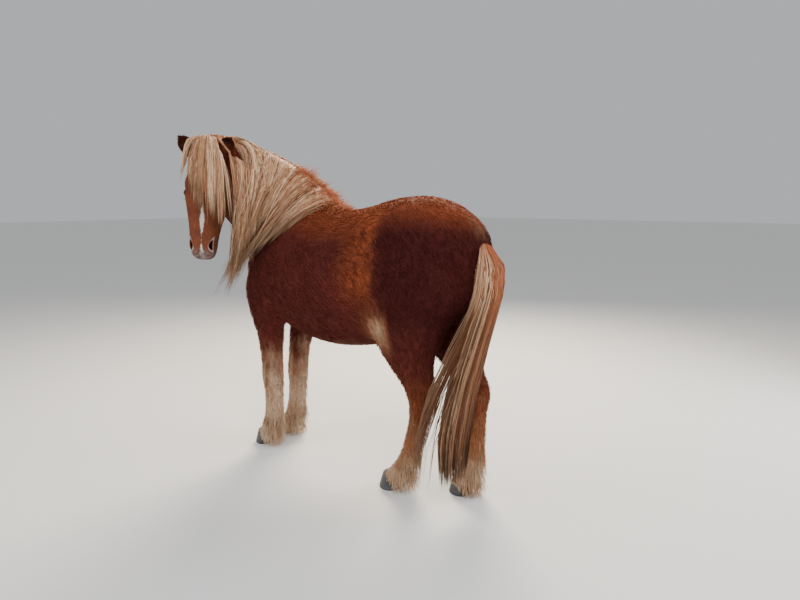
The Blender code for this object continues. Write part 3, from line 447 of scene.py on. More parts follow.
def wholeBody():
    grids = [trunkGrid(), neckGrid(), headGrid(), dockGrid()]
    for sign in sides.values():
        for across, along, face, *radii in bodyForms["headBulges"]:
            radii = headPose["scale"] * np.array(radii)
            grids.append(ballGrid(onHead(sign * across, along, face), radii, headTurn))
        for left, forward, up, *radii in bodyForms["bodyBulges"]:
            grids.append(ballGrid(place(forward, sign * left, up), radii))
    grids += [legGrid(end, side) for end in ends for side in sides]
    body = withModifier(solidFromGrids("skin", grids), "REMESH", mode="VOXEL", voxel_size=bodyForms["voxel"])
    applied(body)
    group = body.vertex_groups.new(name="broad")
    levels = 12
    steps = np.round(broadShare(vertexPlaces(body)) * levels).astype(int)
    for step in range(1, levels + 1):
        group.add(np.flatnonzero(steps == step).tolist(), step / levels, "REPLACE")
    withModifier(body, "SMOOTH", factor=0.5, iterations=bodyForms["broadRounds"], vertex_group="broad")
    return applied(withModifier(body, "SMOOTH", factor=0.5, iterations=bodyForms["fineRounds"]))


# ---- skin ----
skinSettings = {
    "bodyTriangles": 62000, "coatDepth": 0.007, "legDepth": 0.005, "faceDepth": 0.0012,
    "eyeRadius": 0.0195, "lidThickness": 0.0030, "opening": (0.0170, 0.0098),
    "nostril": {"place": (0.044, 0.470, -0.018), "half": (0.0088, 0.0235), "bend": 14.0, "depth": 0.020},
    "mouth": ((0.080, 0.425, -0.094), (0.070, 0.470, -0.090), (0.055, 0.520, -0.086),
              (0.030, 0.560, -0.084), (0.0, 0.572, -0.083)),
}


def thinBody(body):
    # fewer triangles on the body, all of them kept on the head
    places = vertexPlaces(body)
    across, along, face = headMeasures(places)
    head = (along > -0.10) & (along < 0.62) & inHeadBox(across, face, places[:, 2], 0.16, -0.30, 0.12, 1.0)
    group = body.vertex_groups.new(name="body")
    group.add(np.flatnonzero(~head).tolist(), 1.0, "REPLACE")
    kept = (skinSettings["bodyTriangles"] + 2 * int(head.sum())) / (2 * len(body.data.polygons))
    return applied(withModifier(body, "DECIMATE", ratio=kept, vertex_group="body", vertex_group_factor=1.0,
                                use_collapse_triangulate=True))


def refineNear(body, centres, radius):
    # each edge wholly within radius of a centre is halved
    points = vertexPlaces(body)
    near = np.zeros(len(points), bool)
    for centre in centres:
        near |= np.linalg.norm(points - centre, axis=1) < radius

    def halve(bm):
        edges = [edge for edge in bm.edges if all(near[vert.index] for vert in edge.verts)]
        bmesh.ops.subdivide_edges(bm, edges=edges, cuts=1, use_grid_fill=True)
        bmesh.ops.triangulate(bm, faces=[face for face in bm.faces if len(face.verts) > 3])

    reworked(body, halve)


def eyeAxes(sign):
    # columns: outward, along the lids, up
    lean = Matrix.Rotation(math.radians(sign * -12), 3, "Z") @ Matrix.Rotation(math.radians(sign * 18), 3, "Y")
    axes = headTurn @ np.array(lean)
    return np.column_stack([axes[:, 0] * sign, axes[:, 1], axes[:, 2]])


def eyeCentre(sign):
    low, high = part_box("eye_left" if sign < 0 else "eye_right")
    return (np.array(low) + np.array(high)) / 2


def eyeMeasures(points, sign):
    # points in the eye's own axes
    return (points - eyeCentre(sign)) @ eyeAxes(sign)


def nostrilAxes(sign):
    # columns: out of the nose, down the slit, across the slit
    out = unit(headTurn @ np.array([sign * 0.50, 0.42, 0.72]))
    down = headTurn @ np.array([sign * -0.25, 1.0, -0.55])
    down = unit(down - out * (down @ out))
    return np.column_stack([out, down, np.cross(out, down) * sign])


def nostrilSpot(sign):
    across, along, face = skinSettings["nostril"]["place"]
    return onHead(sign * across, along, face)


def nostrilMeasures(points, sign):
    # points in the nostril's own axes, and q = |(y/h, (z + k y^2 - 0.002)/w)| of its bent slit
    nostril = skinSettings["nostril"]
    w, h = nostril["half"]
    local = (points - nostrilSpot(sign)) @ nostrilAxes(sign)
    y, z = local[..., 1], local[..., 2]
    return local, np.sqrt((y / h) ** 2 + ((z + nostril["bend"] * y**2 - 0.002) / w) ** 2)


def depthInside(points):
    # how far the skin lies inside the CAD shape: the coat's depth on the body, less on legs and face
    across, along, face = headMeasures(points)
    up = points[..., 2]
    inFace = ramp(along, -0.02, 0.10) * inHeadBox(across, face, up, 0.16, -0.32, 0.12, 1.0)
    depth = between(skinSettings["coatDepth"], skinSettings["legDepth"], 1 - ramp(up, 0.45, 0.80))
    return between(depth, skinSettings["faceDepth"], inFace)


def shapeEye(points, sign):
    # almond q = |(y/a, z/b)|. Inside q < 1 the skin dives under the ball, and round it lies the lid's roll
    axes, local = eyeAxes(sign), eyeMeasures(points, sign)
    x, y, z = local.T
    a, b = skinSettings["opening"]
    q = np.sqrt((y / a) ** 2 + ((z - 0.10 * y) / b) ** 2)
    flat = np.sqrt(y**2 + z**2)
    near = (x > -0.004) & (x < 0.045) & (flat < 0.034)
    low = (x > -0.030) & (x <= -0.004) & (flat < 0.028)
    ball = np.sqrt(np.maximum(skinSettings["eyeRadius"] ** 2 - y**2 - z**2, 0))
    roll = ball + skinSettings["lidThickness"] * bell(q, 1.35, 0.42) - 0.0015
    fold = 0.0022 * bell(q, 2.15, 0.22) * (z > -0.004)
    inside = ball - 0.0050 - 0.003 * (1 - np.clip(q, 0, 1))
    target = between(inside, np.maximum(roll, 0) - fold, ramp(q, 0.90, 1.06))
    keep = ramp(q, 1.7, 2.6)
    target = between(target, np.maximum(x, target * (1 - keep)), keep)
    edge = x + (target - x) * (1 - ramp(flat, 0.0200, 0.0275))
    local[:, 0] = np.where(near, target, np.where(low, edge, x))
    return eyeCentre(sign) + local @ axes.T


def shapeNostril(points, sign):
    # inside the slit's q < 1 the skin sinks by depth (1 - q^2)^0.5, and its rim stands out
    local, q = nostrilMeasures(points, sign)
    x, y, z = local.T
    near = (np.abs(x) < 0.034) & (np.sqrt(y**2 + z**2) < 0.045)
    sink = skinSettings["nostril"]["depth"] * np.clip(1 - q**2, 0, 1) ** 0.5 * (1 - ramp(q, 0.92, 1.0))
    rim, groove = 0.0034 * bell(q, 1.28, 0.30), 0.0012 * bell(q, 2.0, 0.35)
    local[:, 0] = x + np.where(near, rim - sink - groove, 0)
    return nostrilSpot(sign) + local @ nostrilAxes(sign).T


def mouthLine():
    # from one corner of the mouth round the lips to the other
    across, along, face = smoothRows(skinSettings["mouth"], 8).T
    return np.vstack([onHead(across, along, face), onHead(-across[::-1], along[::-1], face[::-1])[1:]])


def nearestOnLine(points, line):
    # distance to a line of points, and which point is nearest
    best = np.full(len(points), 9.0)
    which = np.zeros(len(points), int)
    for k, spot in enumerate(line):
        distance = np.linalg.norm(points - spot, axis=1)
        closer = distance < best
        best[closer] = distance[closer]
        which[closer] = k
    return best, which


def snapped(tree, line, inward):
    # the line's points cast onto the surface, towards a point inside
    spots = []
    for point in line:
        hit = tree.ray_cast(Vector(point), Vector(inward - point).normalized())[0]
        spots.append(np.array(hit) if hit is not None else point)
    return np.array(spots)


def skinTree(obj):
    bm = bmesh.new()
    bm.from_mesh(obj.data)
    tree = BVHTree.FromBMesh(bm)
    bm.free()
    return tree


earSettings = {
    "root": (0.072, 0.008, 0.012), "length": 0.134, "width": 0.031, "thickness": 0.0045,
    "prick": 0.22, "lean": {"left": 30.0, "right": 36.0}, "rows": 26, "columns": 20,
}


def earFrame(name, sign):
    # columns: across the cup, up its length, out of its opening
    across, up, face = headTurn[:, 0] * sign, -headTurn[:, 1], headTurn[:, 2]
    lean = math.tan(math.radians(earSettings["lean"][name]))
    length = unit(up + across * lean + face * earSettings["prick"])
    facing = unit(headTurn @ np.array([sign * 0.35, 0, 1.0]))
    over = unit(np.cross(length, facing))
    axes = np.column_stack([over, length, np.cross(over, length)])
    root = onHead(sign * earSettings["root"][0], *earSettings["root"][1:]) - length * 0.022
    return root, axes


earFrames = [earFrame(name, -sign) for name, sign in sides.items()]


def earPiece(frame):
    # leaf rolled round its length: half width w(t), roll r(t), x = R sin a, z = 0.012 t^2 - R cos a
    rows, columns = earSettings["rows"], earSettings["columns"]
    t = np.linspace(0, 1, rows + 1)[:, None]
    half = earSettings["width"] * (0.60 + 1.75 * t - 1.05 * t**2) * (1 - t**6) ** 0.7
    roll = 2.15 - 1.35 * t
    radius = np.maximum(half, 0.003) / roll * 1.25
    angle = roll * np.linspace(-1, 1, columns + 1)[None, :]
    curl = 0.004 * np.sin(2.2 * t * math.pi) * np.abs(angle / roll)
    local = stacked(radius * np.sin(angle) * (1 - t**14), t * earSettings["length"],
                    -radius * np.cos(angle) + 0.012 * t**2 + curl)
    root, axes = frame
    grid = root + local @ axes.T
    count = columns + 1
    row, column = np.meshgrid(np.arange(rows), np.arange(columns), indexing="ij")
    near = row * count + column
    faces = np.stack([near, near + 1, near + 1 + count, near + count], -1).reshape(-1, 4)
    leaf = facedOut(meshObject("ear", grid.reshape(-1, 3), faces.tolist()))
    return applied(withModifier(leaf, "SOLIDIFY", thickness=earSettings["thickness"], offset=0.0))


def unionWith(obj, others):
    group = bpy.data.collections.new("joined")
    bpy.context.scene.collection.children.link(group)
    for other in others:
        bpy.context.scene.collection.objects.unlink(other)
        group.objects.link(other)
    applied(withModifier(obj, "BOOLEAN", operation="UNION", solver="MANIFOLD", operand_type="COLLECTION",
                         collection=group))
    for other in others:
        bpy.data.objects.remove(other)
    bpy.data.collections.remove(group)


def refineHead(body):
    # smaller triangles on the muzzle, round eyes and nostrils, and down the middle of the face
    eyes, noses = ([spot(sign) for sign in (1, -1)] for spot in (eyeCentre, nostrilSpot))
    for centres, radius in (([onHead(0, 0.50, -0.07)], 0.115), (eyes, 0.050), (noses, 0.040), (eyes, 0.034)):
        refineNear(body, centres, radius)
    tree = skinTree(body)
    hits = [tree.ray_cast(Vector(onHead(-0.003, along, 0.3)), Vector(-headTurn[:, 2]))[0]
            for along in np.linspace(0.28, 0.53, 16)]
    refineNear(body, [np.array(hit) for hit in hits if hit is not None], 0.024)


def pressMouth(points, lips, middle):
    # the line of the mouth sinks towards the middle, and the lips swell beside it
    distance, which = nearestOnLine(points, lips)
    inward = unit(middle - lips)[which]
    points = points + inward * (0.0050 * bell(distance, 0, 0.0030))[:, None]
    return points - inward * (0.0012 * bell(distance, 0.008, 0.004))[:, None]


def makeSkin():
    body = thinBody(wholeBody())
    refineHead(body)
    middle = onHead(0, 0.42, -0.088)
    lips = snapped(skinTree(body), mouthLine(), middle)
    refineNear(body, lips[::2], 0.008)
    places = vertexPlaces(body)
    points = places - vertexNormals(body) * depthInside(places)[:, None]
    for sign in (1, -1):
        points = shapeNostril(shapeEye(points, sign), sign)
    movePoints(body, pressMouth(points, lips, middle))
    ears = [earPiece(frame) for frame in earFrames]
    earTrees = [skinTree(piece) for piece in ears]
    unionWith(body, ears)
    return reworked(body, lambda bm: bmesh.ops.triangulate(bm, faces=bm.faces)), earTrees


skin, earTrees = makeSkin()
skinSurface = skinTree(skin)
print("skin made:", len(skin.data.polygons), "triangles")


# ---- coat colours ----
coatColours = {      # display levels, made linear
    "liver": linear(94, 42, 38), "dark": linear(56, 21, 21), "copper": linear(162, 84, 50),
    "sand": linear(176, 134, 98), "cream": linear(214, 188, 158), "white": linear(232, 226, 216),
    "pale": linear(230, 196, 162), "flaxen": linear(206, 166, 132), "straw": linear(178, 134, 100),
    "umber": linear(124, 86, 64), "rust": linear(156, 88, 52), "slate": linear(86, 84, 90),
    "pink": linear(196, 158, 146), "earDark": linear(44, 24, 20),
}


def waves(points, seed, scale, octaves=3):
    # sum of sines along seeded directions, about -1 to 1: a smooth noise worked out at any place
    draw = np.random.default_rng(seed)
    total = np.zeros(points.shape[:-1])
    for octave in range(octaves):
        ways = draw.normal(size=(5, 3))
        ways /= np.linalg.norm(ways, axis=1, keepdims=True)
        phase = draw.uniform(0, 6.28, 5)
        size = scale / 1.9**octave
        total += np.sin(points @ ways.T * (6.28 / size) + phase).sum(-1) / (5 * 1.5**octave)
    return total * 1.4


def mixed(base, other, share):
    # between, with a share clipped to 0 and 1 for each colour
    return between(base, other, np.clip(share, 0, 1)[..., None])


def painted(colour, strokes):
    # the colour under each stroke in turn: another colour and its share
    for other, share in strokes:
        colour = mixed(colour, other, share)
    return colour


def bodyColour(points, normals, offHead):
    # liver and dark in blotches, copper on top as a painted highlight and on chest and flank, painted shade over
    # the thigh, a pale groin, and a sandy stroke on the croup
    forward, left, up = ownMeasures(points)
    colours = coatColours
    blotch, fine = waves(points, 3, 0.55), waves(points, 4, 0.10)
    streak = waves(points * np.array([1.0, 1.0, 0.35]), 17, 0.05)
    # painted highlight: copper on the surfaces of the back that face up
    top = ramp(normals[..., 2], 0.30, 0.90) * ramp(up, 1.05, 1.25)
    edge = forward - 0.128 + 0.008 * fine      # of the thigh against the flank
    # painted shade: the thigh darkened behind its edge against the flank
    thighShade = (1 - ramp(edge, -0.05, 0.012)) * (1 - ramp(up, 1.20, 1.33)) * ramp(up, 0.74, 0.90)
    flank = ramp(edge, -0.004, 0.030) * (1 - ramp(forward, 0.20, 0.42))
    flank = flank * ramp(up, 0.86, 1.04) * (1 - ramp(up, 1.28, 1.42))
    chest = ramp(forward, 1.00, 1.14) * ramp(up, 0.75, 0.95) * offHead
    croup = ramp(-forward, 0.16, 0.27) * ramp(up, 1.19, 1.27) * bell(left, 0, 0.035)
    groin = bell(forward, 0.118, 0.070) * bell(up, 0.800, 0.068) * ramp(forward, 0.040, 0.080)
    groin = groin * (0.85 + 0.25 * fine)
    belly = ramp(-normals[..., 2], 0.75, 1.0) * ramp(forward, -0.05, 0.1)
    belly = belly * (1 - ramp(forward, 0.45, 0.8)) * ramp(up, 0.5, 0.62)
    return painted(np.broadcast_to(colours["liver"], points.shape), (
        (colours["dark"], 0.34 + 0.26 * blotch + 0.08 * fine),
        # painted highlight on top
        (colours["copper"], 0.66 * top + 0.06 * fine),
        # painted shade over the thigh
        (colours["dark"], 0.62 * thighShade),
        (colours["copper"], (0.52 + 0.30 * streak) * flank * offHead),
        (colours["copper"], 0.40 * chest),
        (colours["sand"], 0.45 * croup * (0.7 + 0.4 * fine)),
        (colours["copper"], 0.55 * groin**0.5),
        (colours["sand"], 0.95 * groin + 0.30 * belly),
        (colours["cream"], 0.45 * np.clip(groin, 0, 1) ** 2),
    ))


def legColour(colour, points):
    # rust to cream down the front legs, rust to sand and cream down the hind ones, umber over each pastern
    forward, _, up = ownMeasures(points)
    colours = coatColours
    fine, streak = waves(points, 4, 0.10), waves(points * np.array([1.0, 1.0, 0.35]), 17, 0.05)
    front = ramp(forward, 0.55, 0.75)
    height = up + 0.04 * fine
    ragged = height + 0.05 * streak
    gold = (1 - ramp(up, 0.40, 0.62)) * ramp(waves(points * np.array([1.0, 1.0, 0.3]), 18, 0.06), -0.3, 0.8)
    pastern = bell(up, 0.145, 0.038) * (0.25 + 0.75 * front)
    return painted(colour, (
        (colours["rust"], 0.42 * (1 - ramp(height, 0.42, 0.74))),
        (colours["cream"], 0.86 * (front * (1 - ramp(ragged, 0.24, 0.66)))),
        (colours["sand"], 0.62 * ((1 - front) * (1 - ramp(ragged, 0.20, 0.56)))),
        (colours["cream"], 0.60 * (1 - front) * (1 - ramp(height, 0.10, 0.24))),
        (colours["copper"] * 1.1, 0.28 * gold),
        (colours["umber"], 0.80 * pastern * ramp(fine, -0.7, 0.3)),
    ))


faceStripe = {      # along the head, half width
    "width": ((0.26, 0.0), (0.30, 0.006), (0.345, 0.012), (0.385, 0.008), (0.43, -0.001), (0.465, -0.001),
              (0.50, 0.009), (0.53, 0.012)),
    "shift": 0.003,
}


def headColour(colour, points, onHeadShare):
    # brown face with painted shade under the jaw and on one cheek, a white stripe down the middle, speckled
    # muzzle and slate lips
    across, along, face = headMeasures(points)
    colours = coatColours
    blotch, fine = waves(points, 3, 0.55), waves(points, 4, 0.10)
    # painted shade: under the jaw, and on one cheek towards the poll
    shade = ramp(-face, 0.10, 0.20) + 0.6 * ramp(-across, 0.075, 0.105) * (1 - ramp(along, 0.33, 0.45))
    brown = painted(colours["liver"] * np.ones_like(colour), (
        (colours["copper"], 0.40 + 0.18 * fine),
        (colours["umber"], np.array(0.36)),
        # painted shade
        (colours["dark"], 0.55 * np.minimum(shade, 1) + 0.15 * blotch),
    ))
    ragged = table(faceStripe["width"], along) + 0.0022 * waves(points, 9, 0.018)
    stripe = 1 - ramp(np.abs(across + faceStripe["shift"]), ragged - 0.003, ragged + 0.003)
    stripe = stripe * (face > -0.07) * (along > 0.265) * (along < 0.56)
    reach = along + 0.30 * np.maximum(-face - 0.03, 0) + 0.10 * np.abs(across)
    speckle = ramp(waves(points, 12, 0.022), -0.2, 0.6)
    bare = mixed(colours["pink"] * np.ones_like(colour), colours["slate"] * 0.55, 0.60 + 0.40 * speckle)
    lip = ramp(-face, 0.060, 0.085) * ramp(along, 0.47, 0.52)
    return painted(colour, (
        (brown, onHeadShare),
        (colours["white"], 0.94 * stripe * onHeadShare),
        (bare, 0.85 * (ramp(reach, 0.480, 0.530) * onHeadShare)),
        (colours["slate"] * 0.45, 0.75 * (lip * onHeadShare)),
    ))


def rimColour(colour, points, sign):
    # pale rim and dark inside of one nostril, and the dark lids of one eye
    across, along, _ = headMeasures(points)
    colours = coatColours
    noseAcross, noseAlong, _ = skinSettings["nostril"]["place"]
    local, q = nostrilMeasures(points, sign)
    close = np.abs(local[..., 0]) < 0.035
    outer = ramp(sign * (across - sign * noseAcross) + 0.35 * (along - noseAlong), -0.006, 0.006)
    x, y, z = np.moveaxis(eyeMeasures(points, sign), -1, 0)
    ring = np.sqrt((y / 0.021) ** 2 + (z / 0.0145) ** 2)
    return painted(colour, (
        (colours["white"] * 0.72, 0.80 * bell(q, 1.42, 0.24) * close * outer),
        (colours["earDark"] * 0.35, (1 - ramp(q, 0.85, 1.12)) * close),
        (colours["earDark"] * 0.6, (1 - ramp(ring, 0.85, 1.35)) * (np.abs(x) < 0.04)),
    ))


def coatColour(points, normals):
    # the horse's markings at any place, with the painted highlight and shade that bodyColour and headColour add:
    # the skin and each tuft's root take theirs from here
    across, along, face = headMeasures(points)
    onHeadShare = ramp(along, 0.0, 0.08) * inHeadBox(across, face, points[..., 2], brow=0.13)
    colour = legColour(bodyColour(points, normals, 1 - onHeadShare), points)
    colour = headColour(colour, points, onHeadShare)
    for sign in (1, -1):
        colour = rimColour(colour, points, sign)
    return colour


def inEarBox(local, low):
    # true in the box round an ear, in its own axes
    x, y, z = local[:, 0], local[:, 1], local[:, 2]
    return (np.abs(x) < 0.06) & (y > low) & (y < 0.16) & (np.abs(z) < 0.07)


def earShare(points):
    # 1 within 4 mm of an ear's leaf
    share = np.zeros(len(points))
    for (root, axes), tree in zip(earFrames, earTrees):
        near = np.flatnonzero(inEarBox((points - root) @ axes, 0.0))
        touches = [tree.find_nearest(Vector(spot))[3] < 0.004 for spot in points[near]]
        share[near] = np.maximum(share[near], touches)
    return share


# ---- strands ----
def unwrapPlace(points):
    # charts of the skin's own shape: round and along trunk and neck, head, and each leg, in a 3 by 2 page
    forward, left, up = ownMeasures(points)
    across, along, face = headMeasures(points)
    isHead = (along > -0.08) & inHeadBox(across, face, up, brow=0.16)
    isLeg = (up < 0.74) & ~isHead
    u = 0.02 + 0.96 * (np.arctan2(left, up - 1.02) / (2 * math.pi) + 0.5) * 0.5
    v = 0.02 + 0.94 * np.clip((forward + 0.35) / 1.65, 0, 1) * 0.5
    headRound = np.arctan2(across, face + 0.10) / (2 * math.pi) + 0.5
    u = np.where(isHead, 0.52 + 0.46 * headRound, u)
    v = np.where(isHead, 0.02 + 0.46 * np.clip((along + 0.10) / 0.70, 0, 1), v)
    for end, first in zip(ends, (0.0, 0.5)):
        ups, fronts, backs, lefts, _ = np.array(legForms[end])[::-1].T
        for side, sign in sides.items():
            here = isLeg & ((forward > 0.55) == (end == "front")) & ((left > 0.0) == (sign > 0))
            carry, inward = legCarry(end, side, up)
            centreForward, centreLeft = np.interp(up, ups, (fronts + backs) / 2), np.interp(up, ups, lefts)
            angle = np.arctan2(left - sign * (centreLeft + inward), forward - centreForward - carry)
            column = first + (0.25 if sign > 0 else 0.0)
            u = np.where(here, column + 0.01 + 0.23 * (angle / (2 * math.pi) + 0.5), u)
            v = np.where(here, 0.52 + 0.46 * np.clip(up / 0.76, 0, 1), v)
    return np.column_stack([u, v])


patchSize = 0.003      # of one strand on the baked page


def strandMesh(name, lines, offs, half, thick, tint, roots):
    # ring k of a strand: c_k - s h_k, c_k + s h_k, c_k + n t_k, with s across and n off the body, and a point
    # for its end
    count, stations = lines.shape[:2]
    rings = stations - 1
    along = unit(np.gradient(lines, axis=1))
    side = unit(np.cross(along, offs))
    centre = lines[:, :rings]
    across = side[:, :rings] * half[:, :rings, None]
    over = np.cross(side, along)[:, :rings] * thick[:, :rings, None]
    corners = np.stack([centre - across, centre + across, centre + over], 2).reshape(count, rings * 3, 3)
    points = np.concatenate([corners, lines[:, -1:]], 1)
    size = rings * 3 + 1
    quads = [[3 * k + a, 3 * k + b, 3 * k + 3 + b, 3 * k + 3 + a]
             for k in range(rings - 1) for a, b in ((0, 1), (1, 2), (2, 0))]
    last = 3 * (rings - 1)
    tris = [[last, last + 1, size - 1], [last + 1, last + 2, size - 1], [last + 2, last, size - 1], [2, 1, 0]]
    base = (np.arange(count) * size)[:, None, None]
    quadLoops, triLoops = ((base + np.array(faces)[None]).reshape(-1) for faces in (quads, tris))
    loops = np.concatenate([quadLoops, triLoops]).astype(np.int32)
    starts = np.concatenate([np.arange(0, len(quadLoops), 4), np.arange(len(quadLoops), len(loops), 3)])
    mesh = bpy.data.meshes.new(name)
    mesh.vertices.add(count * size)
    mesh.vertices.foreach_set("co", points.ravel().astype(np.float32))
    mesh.loops.add(len(loops))
    mesh.loops.foreach_set("vertex_index", loops)
    mesh.polygons.add(len(starts))
    mesh.polygons.foreach_set("loop_start", starts.astype(np.int32))
    mesh.update(calc_edges=True)
    obj = bpy.data.objects.new(name, mesh)
    bpy.context.scene.collection.objects.link(obj)
    shadeSmooth(obj)
    giveTint(obj, np.concatenate([np.repeat(tint[:, :rings], 3, axis=1), tint[:, -1:]], 1).reshape(-1, 3))
    spot = np.array([[corner, k / rings] for k in range(rings) for corner in (0.0, 1.0, 0.5)] + [[0.5, 1.0]])
    uv = unwrapPlace(roots)[:, None, :] + patchSize * (spot[None] - 0.5)
    giveMap(obj, uv.reshape(-1, 2)[loops])
    print(name, count, "strands,", (2 * len(quads) + len(tris)) * count, "triangles")
    return obj


def laid(roots, heading, length, s):
    # root + heading length s
    return roots[:, None] + heading[:, None] * (length[:, None] * s)[..., None]


# ---- coat ----
coatSettings = {
    "tufts": 46000, "seed": 21,
    "length": {"trunk": 0.040, "rump": 0.030, "neck": 0.036, "leg": 0.026, "lowLeg": 0.022, "face": 0.010},
    "slimness": 0.088, "thickness": 0.0018,
}


def lieOfHair(points, normals):
    # backward and down on the trunk, down the legs, from the poll to the muzzle on the head, laid into the skin
    forward, _, up = ownMeasures(points)
    across, along, face = headMeasures(points)
    back, down = np.array([0, 1.0, 0]), np.array([0, 0, -1.0])
    level = np.abs(normals[..., 2:3])
    inFace = ramp(along, 0.0, 0.08) * inHeadBox(across, face, up)
    outward = headTurn[:, 0] * (np.sign(across) * np.minimum(np.abs(across) / 0.05, 1))[..., None]
    alongHead = headTurn[:, 1] + 0.35 * outward - 0.4 * headTurn[:, 2] * (np.abs(across) > 0.05)[..., None]
    downNeck = np.array([-0.35, 0.45, 0]) + down * 0.85
    lie = back + down * 0.75 * (1 - level)
    for share, way in (
        (1 - ramp(forward, 0.05, 0.30), back * 0.55 + down * (1.15 - level)),      # rump
        (ramp(forward, 0.85, 1.0), back * 0.30 + down),      # chest
        (ramp(forward, 0.70, 0.85) * ramp(up, 1.05, 1.25), downNeck),
        ((1 - ramp(up, 0.62, 0.85)) * (level[..., 0] < 0.9), down + back * 0.12),      # legs
        (inFace, alongHead),
    ):
        lie = between(lie, way, share[..., None])
    return unit(lie - normals * (lie * normals).sum(-1, keepdims=True))


def scattered(obj, count, draw, weight):
    # places on the surface, as many to each square metre as weight asks for
    mesh = obj.data
    corners = np.empty(len(mesh.polygons) * 3, np.int64)
    mesh.polygons.foreach_get("vertices", corners)
    corners = corners.reshape(-1, 3)
    places, normals = vertexPlaces(obj), vertexNormals(obj)
    a, b, c = (places[corners[:, k]] for k in range(3))
    area = np.linalg.norm(np.cross(b - a, c - a), axis=1) / 2
    share = area * weight((a + b + c) / 3)
    pick = np.searchsorted(np.cumsum(share) / share.sum(), np.sort(draw.random(count)))
    pick = np.minimum(pick, len(corners) - 1)
    s, t = np.sqrt(draw.random((count, 1))), draw.random((count, 1))
    parts = [1 - s, s * (1 - t), s * t]
    spots = sum(part * places[corners[pick, k]] for k, part in enumerate(parts))
    ways = unit(sum(part * normals[corners[pick, k]] for k, part in enumerate(parts)))
    return spots, ways


def bareShare(points):
    # 1 where no tuft grows: eyes, nostrils, lips, inside the hooves and the ears
    up = points[:, 2]
    across, along, face = headMeasures(points)
    wide = np.abs(across)
    bare = (up < 0.050) | ((along < 0.03) & (along > -0.16) & (wide < 0.060) & (face > -0.06) & (up > 1.5))
    bare = bare | ((along > 0.505) & (wide < 0.12) & (face > -0.16) & (face < 0.05))
    for sign in (1, -1):
        eye = eyeMeasures(points, sign)
        bare = bare | ((np.hypot(eye[:, 1] / 0.024, eye[:, 2] / 0.017) < 1.0) & (np.abs(eye[:, 0]) < 0.05))
        bare = bare | (np.linalg.norm(nostrilMeasures(points, sign)[0], axis=1) < 0.028)
    return bare.astype(float)


def coatTufts():
    # root + lie L s, raised by h(s) off the skin and bent sideways by b s^2
    draw = np.random.default_rng(coatSettings["seed"])

    def weight(points):
        across, along, face = headMeasures(points)
        head = (along > -0.02) & inHeadBox(across, face, points[:, 2])
        low = 1 - ramp(points[:, 2], 0.40, 0.75)
        return (1 + 3.2 * head + 0.9 * low) * (1 - bareShare(points))

    roots, normals = scattered(skin, coatSettings["tufts"], draw, weight)
    keep = earShare(roots) < 0.5
    roots, normals = roots[keep], normals[keep]
    count = len(roots)
    forward, _, up = ownMeasures(roots)
    across, along, face = headMeasures(roots)
    head = ramp(along, -0.04, 0.10) * inHeadBox(across, face, up)
    sizes = coatSettings["length"]
    low = 1 - ramp(up, 0.22, 0.45)
    length = sizes["trunk"]
    for size, share in (
        (sizes["rump"], 1 - ramp(forward, 0.0, 0.30)),
        (sizes["neck"], ramp(forward, 0.75, 0.90) * ramp(up, 1.1, 1.25)),
        (sizes["leg"], 1 - ramp(up, 0.55, 0.85)),
        (sizes["lowLeg"], low),
        (sizes["face"] * (1.25 - 0.9 * ramp(along, 0.30, 0.50)), head),
    ):
        length = between(length, size, share)
    length = length * draw.uniform(0.65, 1.30, count)
    lie = lieOfHair(roots, normals)
    side = np.cross(lie, normals)
    swirl = 0.24 * waves(roots, 31, 0.24) + 0.09 * draw.normal(size=count)
    lie = unit(lie + side * swirl[:, None])
    lift = np.minimum(depthInside(roots) * draw.uniform(0.4, 1.10, count), length * 0.42)
    s = np.array([0.0, 0.48, 1.0])
    sink = 0.0015 + 0.06 * length
    rise = (sink + lift)[:, None] * np.array([0.0, 0.92, 0.98])
    bend = side * (draw.normal(0, 0.06, count) * length)[:, None]
    lines = (laid(roots - normals * sink[:, None], lie, length, s) + normals[:, None] * rise[..., None]
             + bend[:, None] * (s**2)[None, :, None])
    offs = np.repeat(normals[:, None], 3, 1)
    half = length * coatSettings["slimness"] * draw.uniform(0.7, 1.3, count)
    half = half[:, None] * np.array([0.55, 0.50, 0.0])
    thick = np.minimum(coatSettings["thickness"], 0.09 * length)[:, None] * np.array([1.0, 0.8, 0.0])
    base = coatColour(roots, normals)
    shade = draw.normal(1.0, 0.09, (count, 1)) * (1 + 0.12 * waves(roots, 41, 0.06)[:, None])
    tint = np.clip(base * np.clip(shade, 0.55, 1.6), 0, 1)
    # painted shade at each tuft's root (0.74) and a painted highlight at its tip, paler and a little more copper
    paler = mixed(tint, coatColours["copper"], 0.06 * (1 - head) * (1 - low))
    tint = np.stack([tint * 0.74, tint, np.clip(paler * 1.05, 0, 1)], 1)
    groups = (draw.random(count) * 3).astype(int)
    parts = (lines, offs, half, thick, tint, roots)
    return [strandMesh(f"coat{k + 1}", *(part[groups == k] for part in parts)) for k in range(3)]


earHairSettings = {
    "tufts": 2600, "seed": 23, "back": 0.007, "cup": 0.011, "halfWidth": 0.0009, "thickness": 0.0007,
    "paler": 0.16,      # share of copper tufts
}


